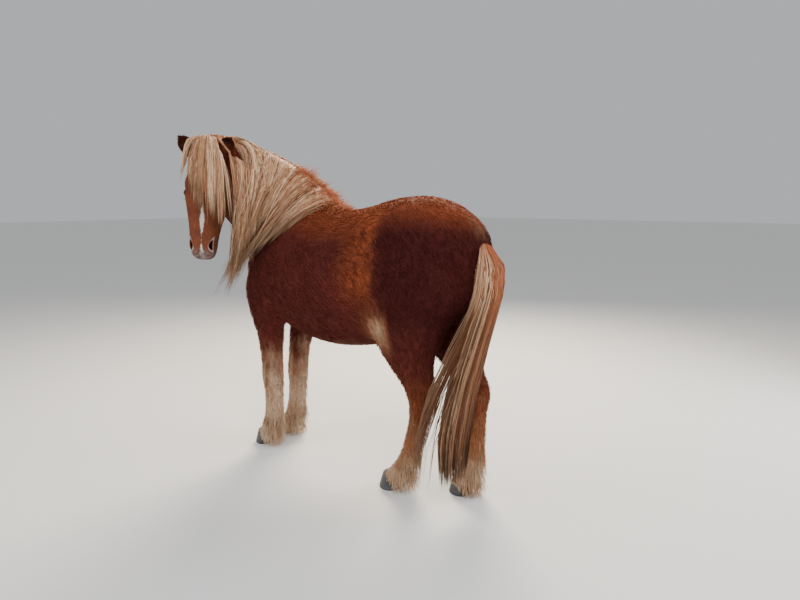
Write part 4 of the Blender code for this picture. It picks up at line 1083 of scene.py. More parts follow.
def earHair():
    # root + heading L s + normal r s^1.3: flat and short on the back of the ear, longer and looser in the cup
    draw = np.random.default_rng(earHairSettings["seed"])

    def weight(points):
        boxes = [inEarBox((points - root) @ axes, 0.01) for root, axes in earFrames]
        return np.any(boxes, axis=0).astype(float)

    roots, normals = scattered(skin, earHairSettings["tufts"], draw, weight)
    keep = earShare(roots) > 0.5
    roots, normals = roots[keep], normals[keep]
    count = len(roots)
    (first, firstAxes), (second, secondAxes) = earFrames
    nearer = np.linalg.norm(roots - first, axis=1) < np.linalg.norm(roots - second, axis=1)
    length, facing = (np.where(nearer[:, None], firstAxes[:, k], secondAxes[:, k]) for k in (1, 2))
    inside = ramp((normals * facing).sum(1), 0.0, 0.4)
    size = between(earHairSettings["back"], earHairSettings["cup"], inside) * draw.uniform(0.6, 1.3, count)
    onSkin = length - normals * (length * normals).sum(1, keepdims=True)
    heading = unit(onSkin + draw.normal(0, 0.10, (count, 3)))
    s = np.linspace(0, 1, 3)
    rise = size * (0.05 + 0.30 * inside * draw.random(count))
    lines = laid(roots - normals * 0.001, heading, size, s)
    lines = lines + normals[:, None] * (rise[:, None] * s**1.3)[..., None]
    brown = mixed(coatColours["liver"], coatColours["copper"], np.full(count, 0.40))
    # painted shade: the tufts in the ear's cup darkened
    tint = mixed(brown, coatColours["earDark"], 0.80 * inside)
    paler = draw.random(count) < earHairSettings["paler"]
    tint = np.where(paler[:, None], coatColours["copper"] * 0.75, tint) * draw.normal(1.0, 0.12, (count, 1))
    # painted shade: each tuft darker at its root than at its tip
    tint = np.clip(tint[:, None] * (0.80 + 0.30 * s[None, :, None]), 0, 1)
    return [hairMesh("earHair", lines, np.repeat(normals[:, None], 3, 1), earHairSettings, tint, draw)]


# ---- long hair ----
def hang(root, aim, fall, length, clear, stations, turn, growth=1.5, riseLength=0.10):
    # steps along a heading that turns from aim to fall, pushed out to clear above the skin
    point, heading = np.array(root, float), unit(np.array(aim, float))
    fall = unit(np.array(fall, float))
    off = np.array(skinSurface.find_nearest(Vector(point))[1])
    line, offs = [point], [off]
    reach = length * np.linspace(0, 1, stations) ** growth
    for start, stop in zip(reach, reach[1:]):
        heading = unit(heading * (1 - turn) + fall * turn)
        point = point + heading * (stop - start)
        spot, normal = (np.array(part) for part in skinSurface.find_nearest(Vector(point))[:2])
        height = (point - spot) @ normal
        rise = clear * min(1.0, stop / riseLength) * (1 - 0.75 * stop / length)
        if height < rise:
            point = spot + normal * rise
            off = normal
        else:
            off = unit(off * 0.7 + normal * 0.3)
        line.append(point)
        offs.append(off)
    return np.array(line), np.array(offs)


def combed(guides, offs, count, stations, draw, spread, height, clump, clumps, shortest=0.72, wave=0.0025):
    # strands between the guides: t along the guides, drawn towards their clump's t by clump s^1.5,
    # raised by h off the skin, with a slow wave across
    order, steps = guides.shape[:2]
    t = np.sort(draw.random(count)) * (order - 1)
    centres = np.sort(draw.random(clumps)) * (order - 1)
    mine = np.abs(t[:, None] - centres[None]).argmin(1)
    s = np.linspace(0, 1, stations)[None]
    where = between(t[:, None], centres[mine][:, None], clump * s ** 1.5)
    low = np.clip(where.astype(int), 0, order - 2)
    part = (where - low)[..., None]
    lengths = draw.uniform(shortest, 1.0, count) * (0.80 + 0.20 * draw.random(clumps)[mine])
    index = s * lengths[:, None] * (steps - 1)
    row = np.minimum(index.astype(int), steps - 2)
    along = (index - row)[..., None]

    def read(lines):
        first = between(lines[low, row], lines[low, row + 1], along)
        return between(first, between(lines[low + 1, row], lines[low + 1, row + 1], along), part)

    lines, off = read(guides), unit(read(offs))
    side = unit(np.cross(unit(np.gradient(lines, axis=1)), off))
    level = draw.random(count)
    rise = (level * height)[:, None] * np.minimum(1, s * 4 + 0.15) * (1 - 0.4 * s)
    sway = draw.normal(0, spread, count)[:, None] * (0.4 + 0.6 * s)
    turns, phase = draw.uniform(3, 9, count)[:, None], draw.uniform(0, 6.28, count)[:, None]
    sway = sway + wave * s * np.sin(s * turns + phase)
    stray = ((draw.random(count) < 0.05) * draw.normal(0, 0.022, count))[:, None]
    rise, sway = rise + np.abs(stray) * 0.5 * s, sway + stray * s ** 1.5
    lines = lines + off * rise[..., None] + side * sway[..., None]
    return lines, off, t / (order - 1), mine, level


hairTaper = ((0.0, 0.75), (0.2, 1.0), (0.7, 0.8), (1.0, 0.2))


def hairMesh(name, lines, offs, sizes, tint, draw):
    # strands as wide and thick as sizes says, each a little of its own and tapered to its end
    count, stations = lines.shape[:2]
    taper = table(hairTaper, np.linspace(0, 1, stations))[None]
    half = sizes["halfWidth"] * draw.uniform(0.7, 1.3, count)[:, None] * taper
    thick = sizes["thickness"] * draw.uniform(0.8, 1.2, count)[:, None] * taper
    return strandMesh(name, lines, offs, half, thick, tint, lines[:, 0])


def clearOfEars(lines):
    # true for each strand that keeps out of the box before an ear's cup
    free = np.ones(len(lines), bool)
    for root, axes in earFrames:
        x, y, z = np.moveaxis((lines - root) @ axes, -1, 0)
        wide = 0.020 + 0.016 * ramp(y, 0.05, 0.09)
        free &= ~((np.abs(x) < wide) & (y > 0.045) & (y < 0.150) & (z > -0.012) & (z < 0.13)).any(1)
    return free


def freeHair(name, lines, offs, sizes, tint, draw):
    # hairMesh of the strands that keep clear of the ears
    free = clearOfEars(lines)
    return hairMesh(name, lines[free], offs[free], sizes, tint[free], draw)


def streaks(count, mine, clumps, draw, palette, spread=0.16):
    # each clump takes a colour of the palette by its share, and each of its strands a shade near it
    levels = np.array([coatColours[key] for key in palette])
    shares = list(palette.values())
    clumpPick = draw.choice(len(palette), clumps, p=shares)
    strandPick = draw.choice(len(palette), count, p=shares)
    own = draw.random(count) < 0.36
    pick = np.where(own, strandPick, clumpPick[mine])
    return levels[pick] * np.clip(draw.normal(1.0, spread, (count, 1)), 0.5, 1.5)


def unzipped(rows):
    # one array for each place in the rows
    return (np.array(part) for part in zip(*rows))


maneSettings = {
    "length": ((0.0, 0.70), (0.4, 0.82), (0.7, 0.76), (1.0, 0.28)),     # along the crest from poll to withers
    "sweep": ((0.0, 0.20), (0.3, 0.20), (0.5, 0.42), (1.0, 1.15)), "sweepWay": (0.90, 0.43),
    "stations": (27.5, 1.5),      # of the neck's axis, at poll and withers
    # round the ear
    "back": ((0.0, 1.6), (0.10, 1.3), (0.16, 0.95), (0.20, 0.65), (0.28, 0.2), (0.34, 0.0)),
    "lift": ((0.0, 1.3), (0.20, 1.0), (0.32, 0.45), (0.45, 0.3), (1.0, 0.3)),
    "rootDepth": 0.006, "guides": 46, "steps": 14, "strandSteps": 8, "turn": 0.30, "seed": 5,
    # first u, last u, lean in degrees, way, length share, clear, strands, clumps, height, brightness
    # (a painted shade, lower on the layers nearer the skin), half width
    "layers": (
        ("maneSide", 0.215, 0.60, 52.0, 0.25, 0.92, 0.006, 1300, 44, 0.016, 0.92, 0.0018),
        ("maneUnder", 0.16, 0.985, 12.0, 1, 0.94, 0.004, 2300, 110, 0.008, 0.62, 0.0027),
        ("maneTop", 0.10, 0.985, -3.0, 1, 1.0, 0.010, 4600, 120, 0.024, 1.0, 0.0018),
    ),
    "thickness": 0.0014,
    "palette": {"flaxen": 0.33, "pale": 0.18, "straw": 0.32, "umber": 0.13, "rust": 0.04},
}


def crestSpot(u, lean):
    # where a ray from the neck's axis, lean degrees off the crest, leaves the skin; u runs from poll to withers
    centre, side, rise, _ = neckStations()
    index = np.interp(u, (0, 1), maneSettings["stations"])
    low = int(index)
    middle, across, up = (between(row[low], row[low + 1], index - low) for row in (centre, side, rise))
    angle = math.radians(lean)
    way = up * math.cos(angle) + across * math.sin(angle)
    spot, normal = skinSurface.ray_cast(Vector(middle), Vector(way))[:2]
    return np.array(spot), np.array(normal), across


def maneGuide(u, lean, way, share, clear, draw):
    # one line of the mane from the crest, led round the ear near the poll
    spot, normal, side = crestSpot(u, lean)
    sweep = table(maneSettings["sweep"], u) + draw.normal(0, 0.04)
    length = share * table(maneSettings["length"], u) * draw.uniform(0.90, 1.06)
    ahead = np.array([maneSettings["sweepWay"][1], -maneSettings["sweepWay"][0], 0])
    fall = np.array([0, 0, -1.0]) + sweep * ahead
    back = table(maneSettings["back"], u) if lean < 30 else 0.0
    lift = table(maneSettings["lift"], u) if lean < 5 else 0.3
    rear = unit(crestSpot(min(u + 0.06, 1.0), lean)[0] - spot)
    aim = normal * lift + side * way * (1 - 0.65 * min(1.0, back / 0.6)) + rear * back
    root = spot - normal * maneSettings["rootDepth"]
    return hang(root, aim, fall, length, clear, maneSettings["steps"], maneSettings["turn"])


def maneHair():
    draw = np.random.default_rng(maneSettings["seed"])
    steps = maneSettings["strandSteps"]
    s = np.linspace(0, 1, steps)[None, :, None]
    fade = np.clip(1 - s * 4, 0, 1)
    pieces = []
    for name, first, last, lean, way, share, clear, count, clumps, height, bright, half in maneSettings["layers"]:
        guides, offs = unzipped(maneGuide(u, lean + draw.normal(0, 1.5), way, share, clear, draw)
                               for u in np.linspace(first, last, maneSettings["guides"]))
        lines, off, t, mine, level = combed(guides, offs, count, steps, draw, 0.005, height, 0.78, clumps)
        tint = streaks(count, mine, clumps, draw, maneSettings["palette"], 0.11)
        root = mixed(tint, coatColours["rust"], 0.05 + 0.40 * ramp(t, 0.65, 0.97))
        tint = between(tint[:, None], root[:, None], fade)
        # painted shade: the layers nearer the skin (bright) and the deeper strands (low level) darker; the
        # strands also darken from the crest towards their tips
        tint = np.clip(tint * (1.32 - 0.50 * s) * (0.70 + 0.36 * level[:, None, None]) * bright, 0, 1)
        sizes = {"halfWidth": half, "thickness": maneSettings["thickness"]}
        pieces.append(freeHair(name, lines, off, sizes, tint, draw))
    return pieces


crestSettings = {
    "strands": 2400, "clumps": 180, "guides": 60, "steps": 8, "strandSteps": 6, "seed": 6,
    "length": ((0.0, 0.16), (0.5, 0.17), (0.85, 0.13), (1.0, 0.07)), "clear": 0.010, "rootDepth": 0.006,
    "halfWidth": 0.0021, "thickness": 0.0015,
    "palette": {"flaxen": 0.22, "straw": 0.26, "rust": 0.32, "copper": 0.20},
}


def crestHair():
    # short hair over the crest that falls on the right side, redder towards the withers
    draw = np.random.default_rng(crestSettings["seed"])
    made = []
    for u in np.linspace(0.02, 0.99, crestSettings["guides"]):
        spot, normal, side = crestSpot(u, draw.normal(3, 2))
        root, length = spot - normal * crestSettings["rootDepth"], table(crestSettings["length"], u)
        made.append(hang(root, normal * 0.9 - side, np.array([0, 0.12, -1.0]), length, crestSettings["clear"],
                         crestSettings["steps"], 0.30, riseLength=0.04))
    guides, offs = unzipped(made)
    count, clumps, steps = (crestSettings[key] for key in ("strands", "clumps", "strandSteps"))
    lines, off, t, mine, _ = combed(guides, offs, count, steps, draw, 0.008, 0.026, 0.45, clumps, shortest=0.55)
    tint = streaks(count, mine, clumps, draw, crestSettings["palette"])
    tint = mixed(tint, coatColours["copper"] * 1.15, 0.75 * ramp(t, 0.62, 0.88))
    # painted shade: each strand darker at its root than at its tip
    tint = np.clip(tint[:, None] * (1.0 + 0.35 * np.linspace(0, 1, steps)[None, :, None]), 0, 1)
    return [freeHair("maneCrest", lines, off, crestSettings, tint, draw)]


fluffSettings = {
    "strands": 4400, "seed": 7, "lean": 15.0, "halfWidth": 0.0012, "thickness": 0.0009, "rootDepth": 0.004,
    "height": ((0.10, 0.018), (0.55, 0.024), (0.70, 0.056), (0.90, 0.050), (1.0, 0.034)),
}


def crestFluff():
    # short hair that stands up along the crest: root + normal h s + back 0.85 h s^2, swung in soft waves
    draw = np.random.default_rng(fluffSettings["seed"])
    count = fluffSettings["strands"]
    early = draw.random(count) < 0.25      # the fewer ones, nearer the poll
    share = np.where(early, draw.uniform(0.10, 0.65, count), draw.uniform(0.60, 1.05, count))
    lean = draw.normal(0, fluffSettings["lean"], count)
    roots, normals = unzipped(crestSpot(min(u, 1.0), k)[:2] for u, k in zip(share, lean))
    over = np.maximum(share - 1.0, 0)[:, None] * np.array([0, 1.9, -0.35])
    height = table(fluffSettings["height"], np.minimum(share, 1.0)) * draw.uniform(0.45, 1.2, count)
    height = height * (1 + 0.30 * waves(roots, 61, 0.09))
    s = np.linspace(0, 1, 4)
    back = unit(np.array([0.10, 1.0, -0.45]))
    swing = draw.normal(0, 0.14, (count, 3)) + 0.40 * waves(roots, 62, 0.05)[:, None] * np.array([1.0, 0.4, 0])
    lines = laid(roots + over - normals * fluffSettings["rootDepth"], normals, height, s)
    lines = lines + ((back * 0.85 + swing) * height[:, None])[:, None] * (s**2)[None, :, None]
    tint = mixed(np.tile(coatColours["copper"], (count, 1)), coatColours["straw"], draw.random(count) * 0.8)
    tint = mixed(tint, coatColours["flaxen"], 0.9 * (1 - ramp(share, 0.50, 0.68)))
    tint = tint * draw.normal(1.35, 0.14, (count, 1))
    # painted shade: each strand darker at its root than at its tip
    tint = np.clip(tint[:, None] * (0.75 + 0.45 * s[None, :, None]), 0, 1)
    offs = unit(np.repeat(normals[:, None], 4, 1) + np.array([0.3, 0.2, 0]))
    return [freeHair("crestFluff", lines, offs, fluffSettings, tint, draw)]


forelockSettings = {
    "length": ((0.0, 0.63), (0.22, 0.57), (0.50, 0.45), (0.75, 0.38), (1.0, 0.32)), "half": (0.045, 0.016),
    "spread": ((0.0, 0.03), (0.35, 0.02), (0.6, 0.0), (1.0, -0.04)), "seed": 8, "guides": 26, "clumps": 34,
    "steps": 14, "strandSteps": 8, "turn": 0.27, "rootDepth": 0.006, "reach": 0.398,
    # back from the poll, length share, clear, strands, brightness (a painted shade, lower on the layers nearer
    # the skin)
    "layers": (
        (0.0, 0.84, 0.006, 1100, 0.66), (0.035, 0.92, 0.028, 1500, 0.90), (0.072, 1.0, 0.052, 2000, 1.0),
    ),
    "halfWidth": 0.0015, "thickness": 0.0012,
    "palette": {"flaxen": 0.38, "pale": 0.08, "straw": 0.35, "umber": 0.14, "rust": 0.05},
}


def forelockGuide(u, back, share, clear, draw):
    # one line of the forelock from between the ears, led up and forward over the brow
    side, along, face = headTurn.T
    over = 2 * u - 1
    across = over * forelockSettings["half"][0 if over < 0 else 1]
    top = onHead(across, -back + draw.normal(0, 0.004), 0.10)
    spot, normal = skinSurface.ray_cast(Vector(top), Vector(-face))[:2]
    if spot is None:
        spot, normal = skinSurface.find_nearest(Vector(top - 0.10 * face))[:2]
    spot, normal = np.array(spot), np.array(normal)
    fall = np.array([0, 0, -1.0]) + side * (table(forelockSettings["spread"], u) + draw.normal(0, 0.025))
    length = share * table(forelockSettings["length"], u) * draw.uniform(0.90, 1.06)
    aim = np.array([0, 0, 1.25 + 7 * back]) + normal * 0.3
    aim = aim + along * (0.9 + 8 * back) + side * (over * 0.30 - 0.10)
    root = spot - normal * forelockSettings["rootDepth"]
    return hang(root, aim, fall, length, clear, forelockSettings["steps"], forelockSettings["turn"],
                riseLength=0.05)


def forelockHair():
    draw = np.random.default_rng(forelockSettings["seed"])
    clumps, steps = forelockSettings["clumps"], forelockSettings["strandSteps"]
    s = np.linspace(0, 1, steps)[None, :, None]
    fade = np.clip(1 - s * 3, 0, 1)
    layers = []
    for back, share, clear, count, bright in forelockSettings["layers"]:
        guides, offs = unzipped(forelockGuide(u, back, share, clear, draw)
                                for u in np.linspace(0, 1, forelockSettings["guides"]))
        lines, off, _, mine, level = combed(guides, offs, count, steps, draw, 0.005, 0.016, 0.72, clumps,
                                            shortest=0.62)
        tint = streaks(count, mine, clumps, draw, forelockSettings["palette"], 0.11)
        root = mixed(tint, coatColours["copper"] * 1.25, np.full(count, 0.30))
        tint = between(tint[:, None], root[:, None], fade)
        # painted shade: the layers nearer the skin (bright) and the deeper strands (low level) darker; each
        # strand a little brighter towards its tip
        tint = np.clip(tint * (1.10 + 0.14 * s) * (0.70 + 0.38 * level[:, None, None]) * bright, 0, 1)
        layers.append((lines, off, tint))
    lines, offs, tints = (np.vstack(part) for part in zip(*layers))
    lines[..., 0] -= 0.5 * np.maximum(lines[..., 0] - forelockSettings["reach"], 0)      # drawn in to the face
    return [freeHair("forelock", lines, offs, forelockSettings, tints, draw)]


tailSettings = {
    # strands, then the least and most of: start along the tail, depth of a strand, depth of a clump
    "pieces": {"tailOuter": (4300, (0.035, 0.20), (0.62, 1.02), (0.80, 1.08)),
               "tailInner": (2700, (0.05, 0.30), (0.15, 0.75), (0.35, 0.85))},
    "seed": 12, "clumps": 130, "halfWidth": 0.0020, "thickness": 0.0015, "wisps": 0.06, "wispReach": 0.15,
    "palette": {"flaxen": 0.26, "pale": 0.16, "straw": 0.28, "umber": 0.18, "rust": 0.12},
}


def tailTint(tint, angle, share, s, dark):
    # flaxen on the left, rust on the right, copper at the root and dark below the middle
    leftness = 0.62 * np.cos(angle) - 0.78 * np.sin(angle)
    tint = mixed(tint, coatColours["flaxen"] * 0.9, 0.40 * ramp(leftness, 0.1, 0.9))
    tint = mixed(tint, coatColours["rust"], 0.40 * ramp(-leftness, 0.1, 0.9) + 0.05)
    fade = np.clip(1.1 - s * (4.2 - 2.9 * ramp(-leftness, -0.1, 0.7)[:, None]), 0, 1)[..., None]
    copper = np.tile(coatColours["copper"], (len(angle), 1))
    root = mixed(copper, coatColours["flaxen"], 0.75 * ramp(leftness, 0.60, 1.0))
    tint = between(tint[:, None], root[:, None], fade)
    low = (ramp(share, 0.34, 0.56) * (0.95 - 0.5 * dark)[:, None])[..., None]
    return between(tint, tint * 0.24 + coatColours["rust"] * 0.10, low)


def tailHair():
    # centre(s) + depth (cos a W(s), sin a D(s)), out from the dock as 3.6 (s - start), pulled towards clumps
    path = smoothRows(tailForm, 6)
    draw = np.random.default_rng(tailSettings["seed"])
    clumps = tailSettings["clumps"]
    s = np.linspace(0, 1, 8)[None]
    pull = 0.80 * s ** 1.3
    pieces = []
    for name, (count, starts, depths, clumpDepths) in tailSettings["pieces"].items():
        angle = draw.uniform(-math.pi, math.pi, count)
        start, stop = draw.uniform(*starts, count), draw.uniform(0.80, 1.0, count)
        depth = draw.uniform(*depths, count)
        clumpAngle, clumpDepth = draw.uniform(-math.pi, math.pi, clumps), draw.uniform(*clumpDepths, clumps)
        mine = np.abs((angle[:, None] - clumpAngle[None] + math.pi) % (2 * math.pi) - math.pi).argmin(1)
        turnTo = (clumpAngle[mine] - angle + math.pi) % (2 * math.pi) - math.pi
        a = angle[:, None] + turnTo[:, None] * pull
        share = start[:, None] + (stop - start)[:, None] * s
        index = share * (len(path) - 1)
        forward, left, up, wide, deep = (np.interp(index, np.arange(len(path)), path[:, k]) for k in range(5))
        out = between(depth[:, None], clumpDepth[mine][:, None], pull)
        out = out * np.minimum(1, 0.12 + 3.6 * (share - start[:, None]))
        wide = wide * (1 + 0.35 * bell(share, 0.20, 0.13))
        off = stacked(np.cos(a) * wide, np.sin(a) * deep, 0)
        lines = place(forward, left, up) + off * out[..., None]
        turns, phase = draw.uniform(3, 8, count)[:, None], draw.uniform(0, 6.28, count)[:, None]
        lines[..., 0] += 0.004 * s * np.sin(s * turns + phase)
        wisp = (draw.random(clumps) < tailSettings["wisps"]) & (np.cos(clumpAngle) > 0.2)
        stray = wisp[mine][:, None] * ramp(s, 0.45, 1.0) * tailSettings["wispReach"]
        lines[..., 0] += stray * 0.75
        lines[..., 1] -= stray * 0.35
        tint = streaks(count, mine, clumps, draw, tailSettings["palette"], 0.20)
        tint = tailTint(tint, angle, share, s, (draw.random(clumps) < 0.22)[mine])
        # painted shade: strands nearer the tail's middle darker, the inner piece most
        bright = 0.55 + 0.50 * (depth / 1.02) if name == "tailOuter" else 0.42 + 0.45 * depth
        tint = np.clip(tint * bright[:, None, None], 0, 1)
        pieces.append(hairMesh(name, lines, unit(off), tailSettings, tint, draw))
    return pieces


featherSettings = {
    "strands": 6800, "seed": 15, "floor": 0.004, "halfWidth": 0.0013, "thickness": 0.0010, "hoofTop": 0.082,
    "hoofSwell": 0.020,
}


def featherHair():
    # long hair on the lower legs, longest behind the fetlock, that falls over the top of the hoof and never
    # through the floor: root + heading L s + drift L s^2, pushed out to clear the hoof below its top
    draw = np.random.default_rng(featherSettings["seed"])

    def weight(points):
        up = points[:, 2]
        return (up < 0.52) * (up > 0.052) * (0.8 + 1.2 * (up < 0.22) + 1.0 * (up < 0.13))

    roots, normals = scattered(skin, featherSettings["strands"], draw, weight)
    count = len(roots)
    up = roots[:, 2]
    behind = ramp(normals[:, 1], -0.2, 0.8)
    length = 0.026 + 0.030 * behind * (1 - ramp(up, 0.26, 0.48)) + 0.026 * behind * (1 - ramp(up, 0.14, 0.24))
    length = length + 0.010 * (1 - ramp(up, 0.09, 0.14))
    length = length * draw.uniform(0.6, 1.25, count)
    length = np.minimum(length, 1.15 * (up - 0.050) + 0.060 * behind)
    s = np.linspace(0, 1, 4)
    flat = unit(normals * np.array([1, 1, 0.15]))
    lean = 0.05 + 0.10 * draw.random(count) + 0.14 * behind
    heading = unit(np.array([0, 0, -1.0]) + flat * lean[:, None])
    drift = draw.normal(0, 0.06, (count, 3)) + 0.20 * waves(roots, 55, 0.07)[:, None] * np.array([1, 0.7, 0])
    lines = laid(roots - normals * 0.003, heading, length, s)
    lines = lines + (drift * length[:, None])[:, None] * (s**2)[None, :, None]
    lines = lines + flat[:, None] * (0.003 * np.minimum(1, s * 3))[None, :, None]
    hoofTop = featherSettings["hoofTop"]
    outward = np.clip((hoofTop - lines[..., 2]) / hoofTop, 0, 1) * featherSettings["hoofSwell"]
    lines = lines + flat[:, None] * outward[..., None]
    lines[..., 2] = np.maximum(lines[..., 2], featherSettings["floor"] + 0.001 * s)
    base = coatColour(roots, normals)
    base = mixed(base, coatColours["cream"], 0.12 * (1 - ramp(up, 0.20, 0.40)))
    base = np.where((draw.random(count) < 0.14)[:, None], base * 0.66 + coatColours["rust"] * 0.2, base)
    shade = draw.normal(1.0, 0.10, (count, 1)) * (1 + 0.14 * waves(roots, 56, 0.05)[:, None])
    base = base * np.clip(shade, 0.6, 1.4)
    # painted shade: each strand darker at its root than at its tip
    tint = np.clip(base[:, None] * (0.84 + 0.28 * s[None, :, None]), 0, 1)
    return [hairMesh("legHair", lines, np.repeat(flat[:, None], 4, 1), featherSettings, tint, draw)]


# ---- materials ----
def newLook(name, roughness):
    # a material, its shader, and a function that adds a node with its inputs' values and what feeds them
    material = bpy.data.materials.new(name)
    material.use_nodes = True
    nodes, links = material.node_tree.nodes, material.node_tree.links
    shader = nodes["Principled BSDF"]
    shader.inputs["Roughness"].default_value = roughness

    def add(kind, values=(), **feeds):
        node = nodes.new(kind)
        for key, value in dict(values).items():
            node.inputs[key].default_value = value
        for key, source in feeds.items():
            links.new(source, node.inputs[key])
        return node

    return material, shader, add, links.new


def hairMaterial(name, roughness, gloss, scale, strength):
    # the colour each strand carries, varied by a fine noise, with a soft gloss along it
    material, shader, add, link = newLook(name, roughness)
    tint = add("ShaderNodeAttribute")
    tint.attribute_name = "tint"
    where = add("ShaderNodeTexCoord")
    noise = add("ShaderNodeTexNoise", {"Scale": scale, "Detail": 3}, Vector=where.outputs["Object"])
    limits = {"To Min": 1 - strength, "To Max": 1 + strength}
    spread = add("ShaderNodeMapRange", limits, Value=noise.outputs["Fac"])
    shade = add("ShaderNodeVectorMath")
    shade.operation = "SCALE"
    link(tint.outputs["Color"], shade.inputs[0])
    link(spread.outputs["Result"], shade.inputs["Scale"])
    link(shade.outputs["Vector"], shader.inputs["Base Color"])
    shader.inputs["Specular IOR Level"].default_value = gloss
    return material, shader, add, link, where


def bumped(source, shader, add, link, strength, distance):
    # the source's levels as a bump of the shader's surface
    bump = add("ShaderNodeBump", {"Strength": strength, "Distance": distance}, Height=source.outputs["Fac"])
    link(bump.outputs["Normal"], shader.inputs["Normal"])


def skinMaterial():
    # the same markings as the coat, with the bump of short hair
    material, shader, add, link, where = hairMaterial("short coat", 0.75, 0.05, 60, 0.30)
    streak = add("ShaderNodeMapping", {"Scale": (420, 420, 90)}, Vector=where.outputs["Object"])
    grain = add("ShaderNodeTexNoise", {"Scale": 1.0, "Detail": 4}, Vector=streak.outputs["Vector"])
    bumped(grain, shader, add, link, 0.35, 0.002)
    return material


def hornMaterial():
    # slate-grey horn with rings that follow the height
    material, shader, add, link = newLook("hoof horn", 0.55)
    where = add("ShaderNodeTexCoord")
    stretch = add("ShaderNodeMapping", {"Scale": (14, 14, 260)}, Vector=where.outputs["Object"])
    rings = add("ShaderNodeTexNoise", {"Scale": 1.0}, Vector=stretch.outputs["Vector"])
    grey = add("ShaderNodeValToRGB", Fac=rings.outputs["Fac"])
    for element, position, levels in zip(grey.color_ramp.elements, (0.3, 0.7), ((34, 35, 41), (74, 74, 80))):
        element.color = (*linear(*levels), 1)
        element.position = position
    link(grey.outputs["Color"], shader.inputs["Base Color"])
    bumped(rings, shader, add, link, 0.4, 0.001)
    return material


hoofSettings = {
    # share of the height, half length, half width, shift back
    "rings": ((0.0, 0.064, 0.060, 0.0), (0.10, 0.064, 0.060, 0.001), (1.0, 0.0515, 0.0505, 0.010)),
    "heel": 0.72, "coronetUp": 0.062, "slope": 0.32, "points": 72, "rows": 24,
}


def hoofPiece(end, side):
    # wall radius falls from sole to coronet, and its rings swell it by 0.3 mm; the top slopes to the heel
    foot = legForms["feet"][end][side]
    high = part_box(f"hoof_{end}_{side}")[1]
    share = np.linspace(0, 1, hoofSettings["rows"])[:, None]
    ringShare, long, wide, back = (np.array(column) for column in zip(*hoofSettings["rings"]))
    if end == "hind":
        wide = wide - np.array([0.003, 0.003, 0.0])
    halfLong, halfWide, shift = (np.interp(share, ringShare, column) for column in (long, wide, back))
    angle = np.linspace(0, 2 * math.pi, hoofSettings["points"], endpoint=False)[None, :]
    swell = 0.0003 * np.sin(share * 46) * np.minimum(1, share * 6) - 0.0003
    reach = np.where(np.cos(angle) > 0, halfLong, hoofSettings["heel"] * halfLong) + swell
    forward = foot[0] - shift + reach * np.cos(angle)
    left = sides[side] * abs(foot[1]) + (halfWide + swell) * np.sin(angle)
    top = hoofSettings["coronetUp"] + hoofSettings["slope"] * (forward - foot[0] + 0.010)
    grid = place(forward, left, share * np.minimum(top, high.z - 0.0005))
    inner = grid[-1] * 0.9 + grid[-1].mean(0) * 0.1
    inner[:, 2] -= 0.004
    piece = solidFromGrids(f"hoof{end.capitalize()}{side.capitalize()}", [np.concatenate([grid, inner[None]])])
    shadeSmooth(piece)
    return piece


def eyeMaterial():
    # the colours of the ball's vertices under a thin clear coat
    material, shader, add, link = newLook("eye", 0.16)
    tint = add("ShaderNodeAttribute")
    tint.attribute_name = "tint"
    link(tint.outputs["Color"], shader.inputs["Base Color"])
    for key, value in {"Specular IOR Level": 0.22, "Coat Weight": 0.12, "Coat Roughness": 0.03}.items():
        shader.inputs[key].default_value = value
    return material


eyeSettings = {
    "cornea": 0.0012, "iris": 0.0125, "pupil": (0.0062, 0.0034), "rows": 56, "points": 72,
    "edge": 0.0038, "soft": 0.0008,      # how far the ball's rim is drawn in, and the blur of the iris' edge
}


def eyePiece(name, sign):
    # a ball whose front swells by c (1 - r^2 / i^2) inside the iris' radius i, with a brown iris and a level
    # oval pupil
    radius, iris, soft = skinSettings["eyeRadius"] - 0.0003, eyeSettings["iris"], eyeSettings["soft"]
    t = np.linspace(0.002, math.pi - 0.002, eyeSettings["rows"])[:, None]
    p = np.linspace(0, 2 * math.pi, eyeSettings["points"], endpoint=False)[None, :]
    x, y, z = radius * np.cos(t), radius * np.sin(t) * np.cos(p), radius * np.sin(t) * np.sin(p)
    flat = np.hypot(y, z)
    front = eyeSettings["cornea"] * np.clip(1 - (flat / iris) ** 2, 0, 1)
    front = front - eyeSettings["edge"] * ramp(flat, 0.0120, 0.0165)
    local = stacked(x + np.where(x > 0, front, 0), y, z)
    piece = solidFromGrids(name, [eyeCentre(sign) + local @ eyeAxes(sign).T])
    y, z, flat = y.ravel(), z.ravel(), flat.ravel()
    inIris = 1 - ramp(flat, iris - soft, iris + soft)
    oval = np.hypot(y / eyeSettings["pupil"][0], z / eyeSettings["pupil"][1])
    colour = np.broadcast_to(linear(58, 40, 34), (len(y), 3))
    colour = mixed(colour, linear(44, 22, 12), inIris)
    colour = mixed(colour, linear(70, 38, 18), inIris * ramp(flat, 0.006, 0.010) * 0.6)
    giveTint(piece, mixed(colour, linear(6, 6, 10), 1 - ramp(oval, 0.85, 1.15)))
    shadeSmooth(piece)
    return piece


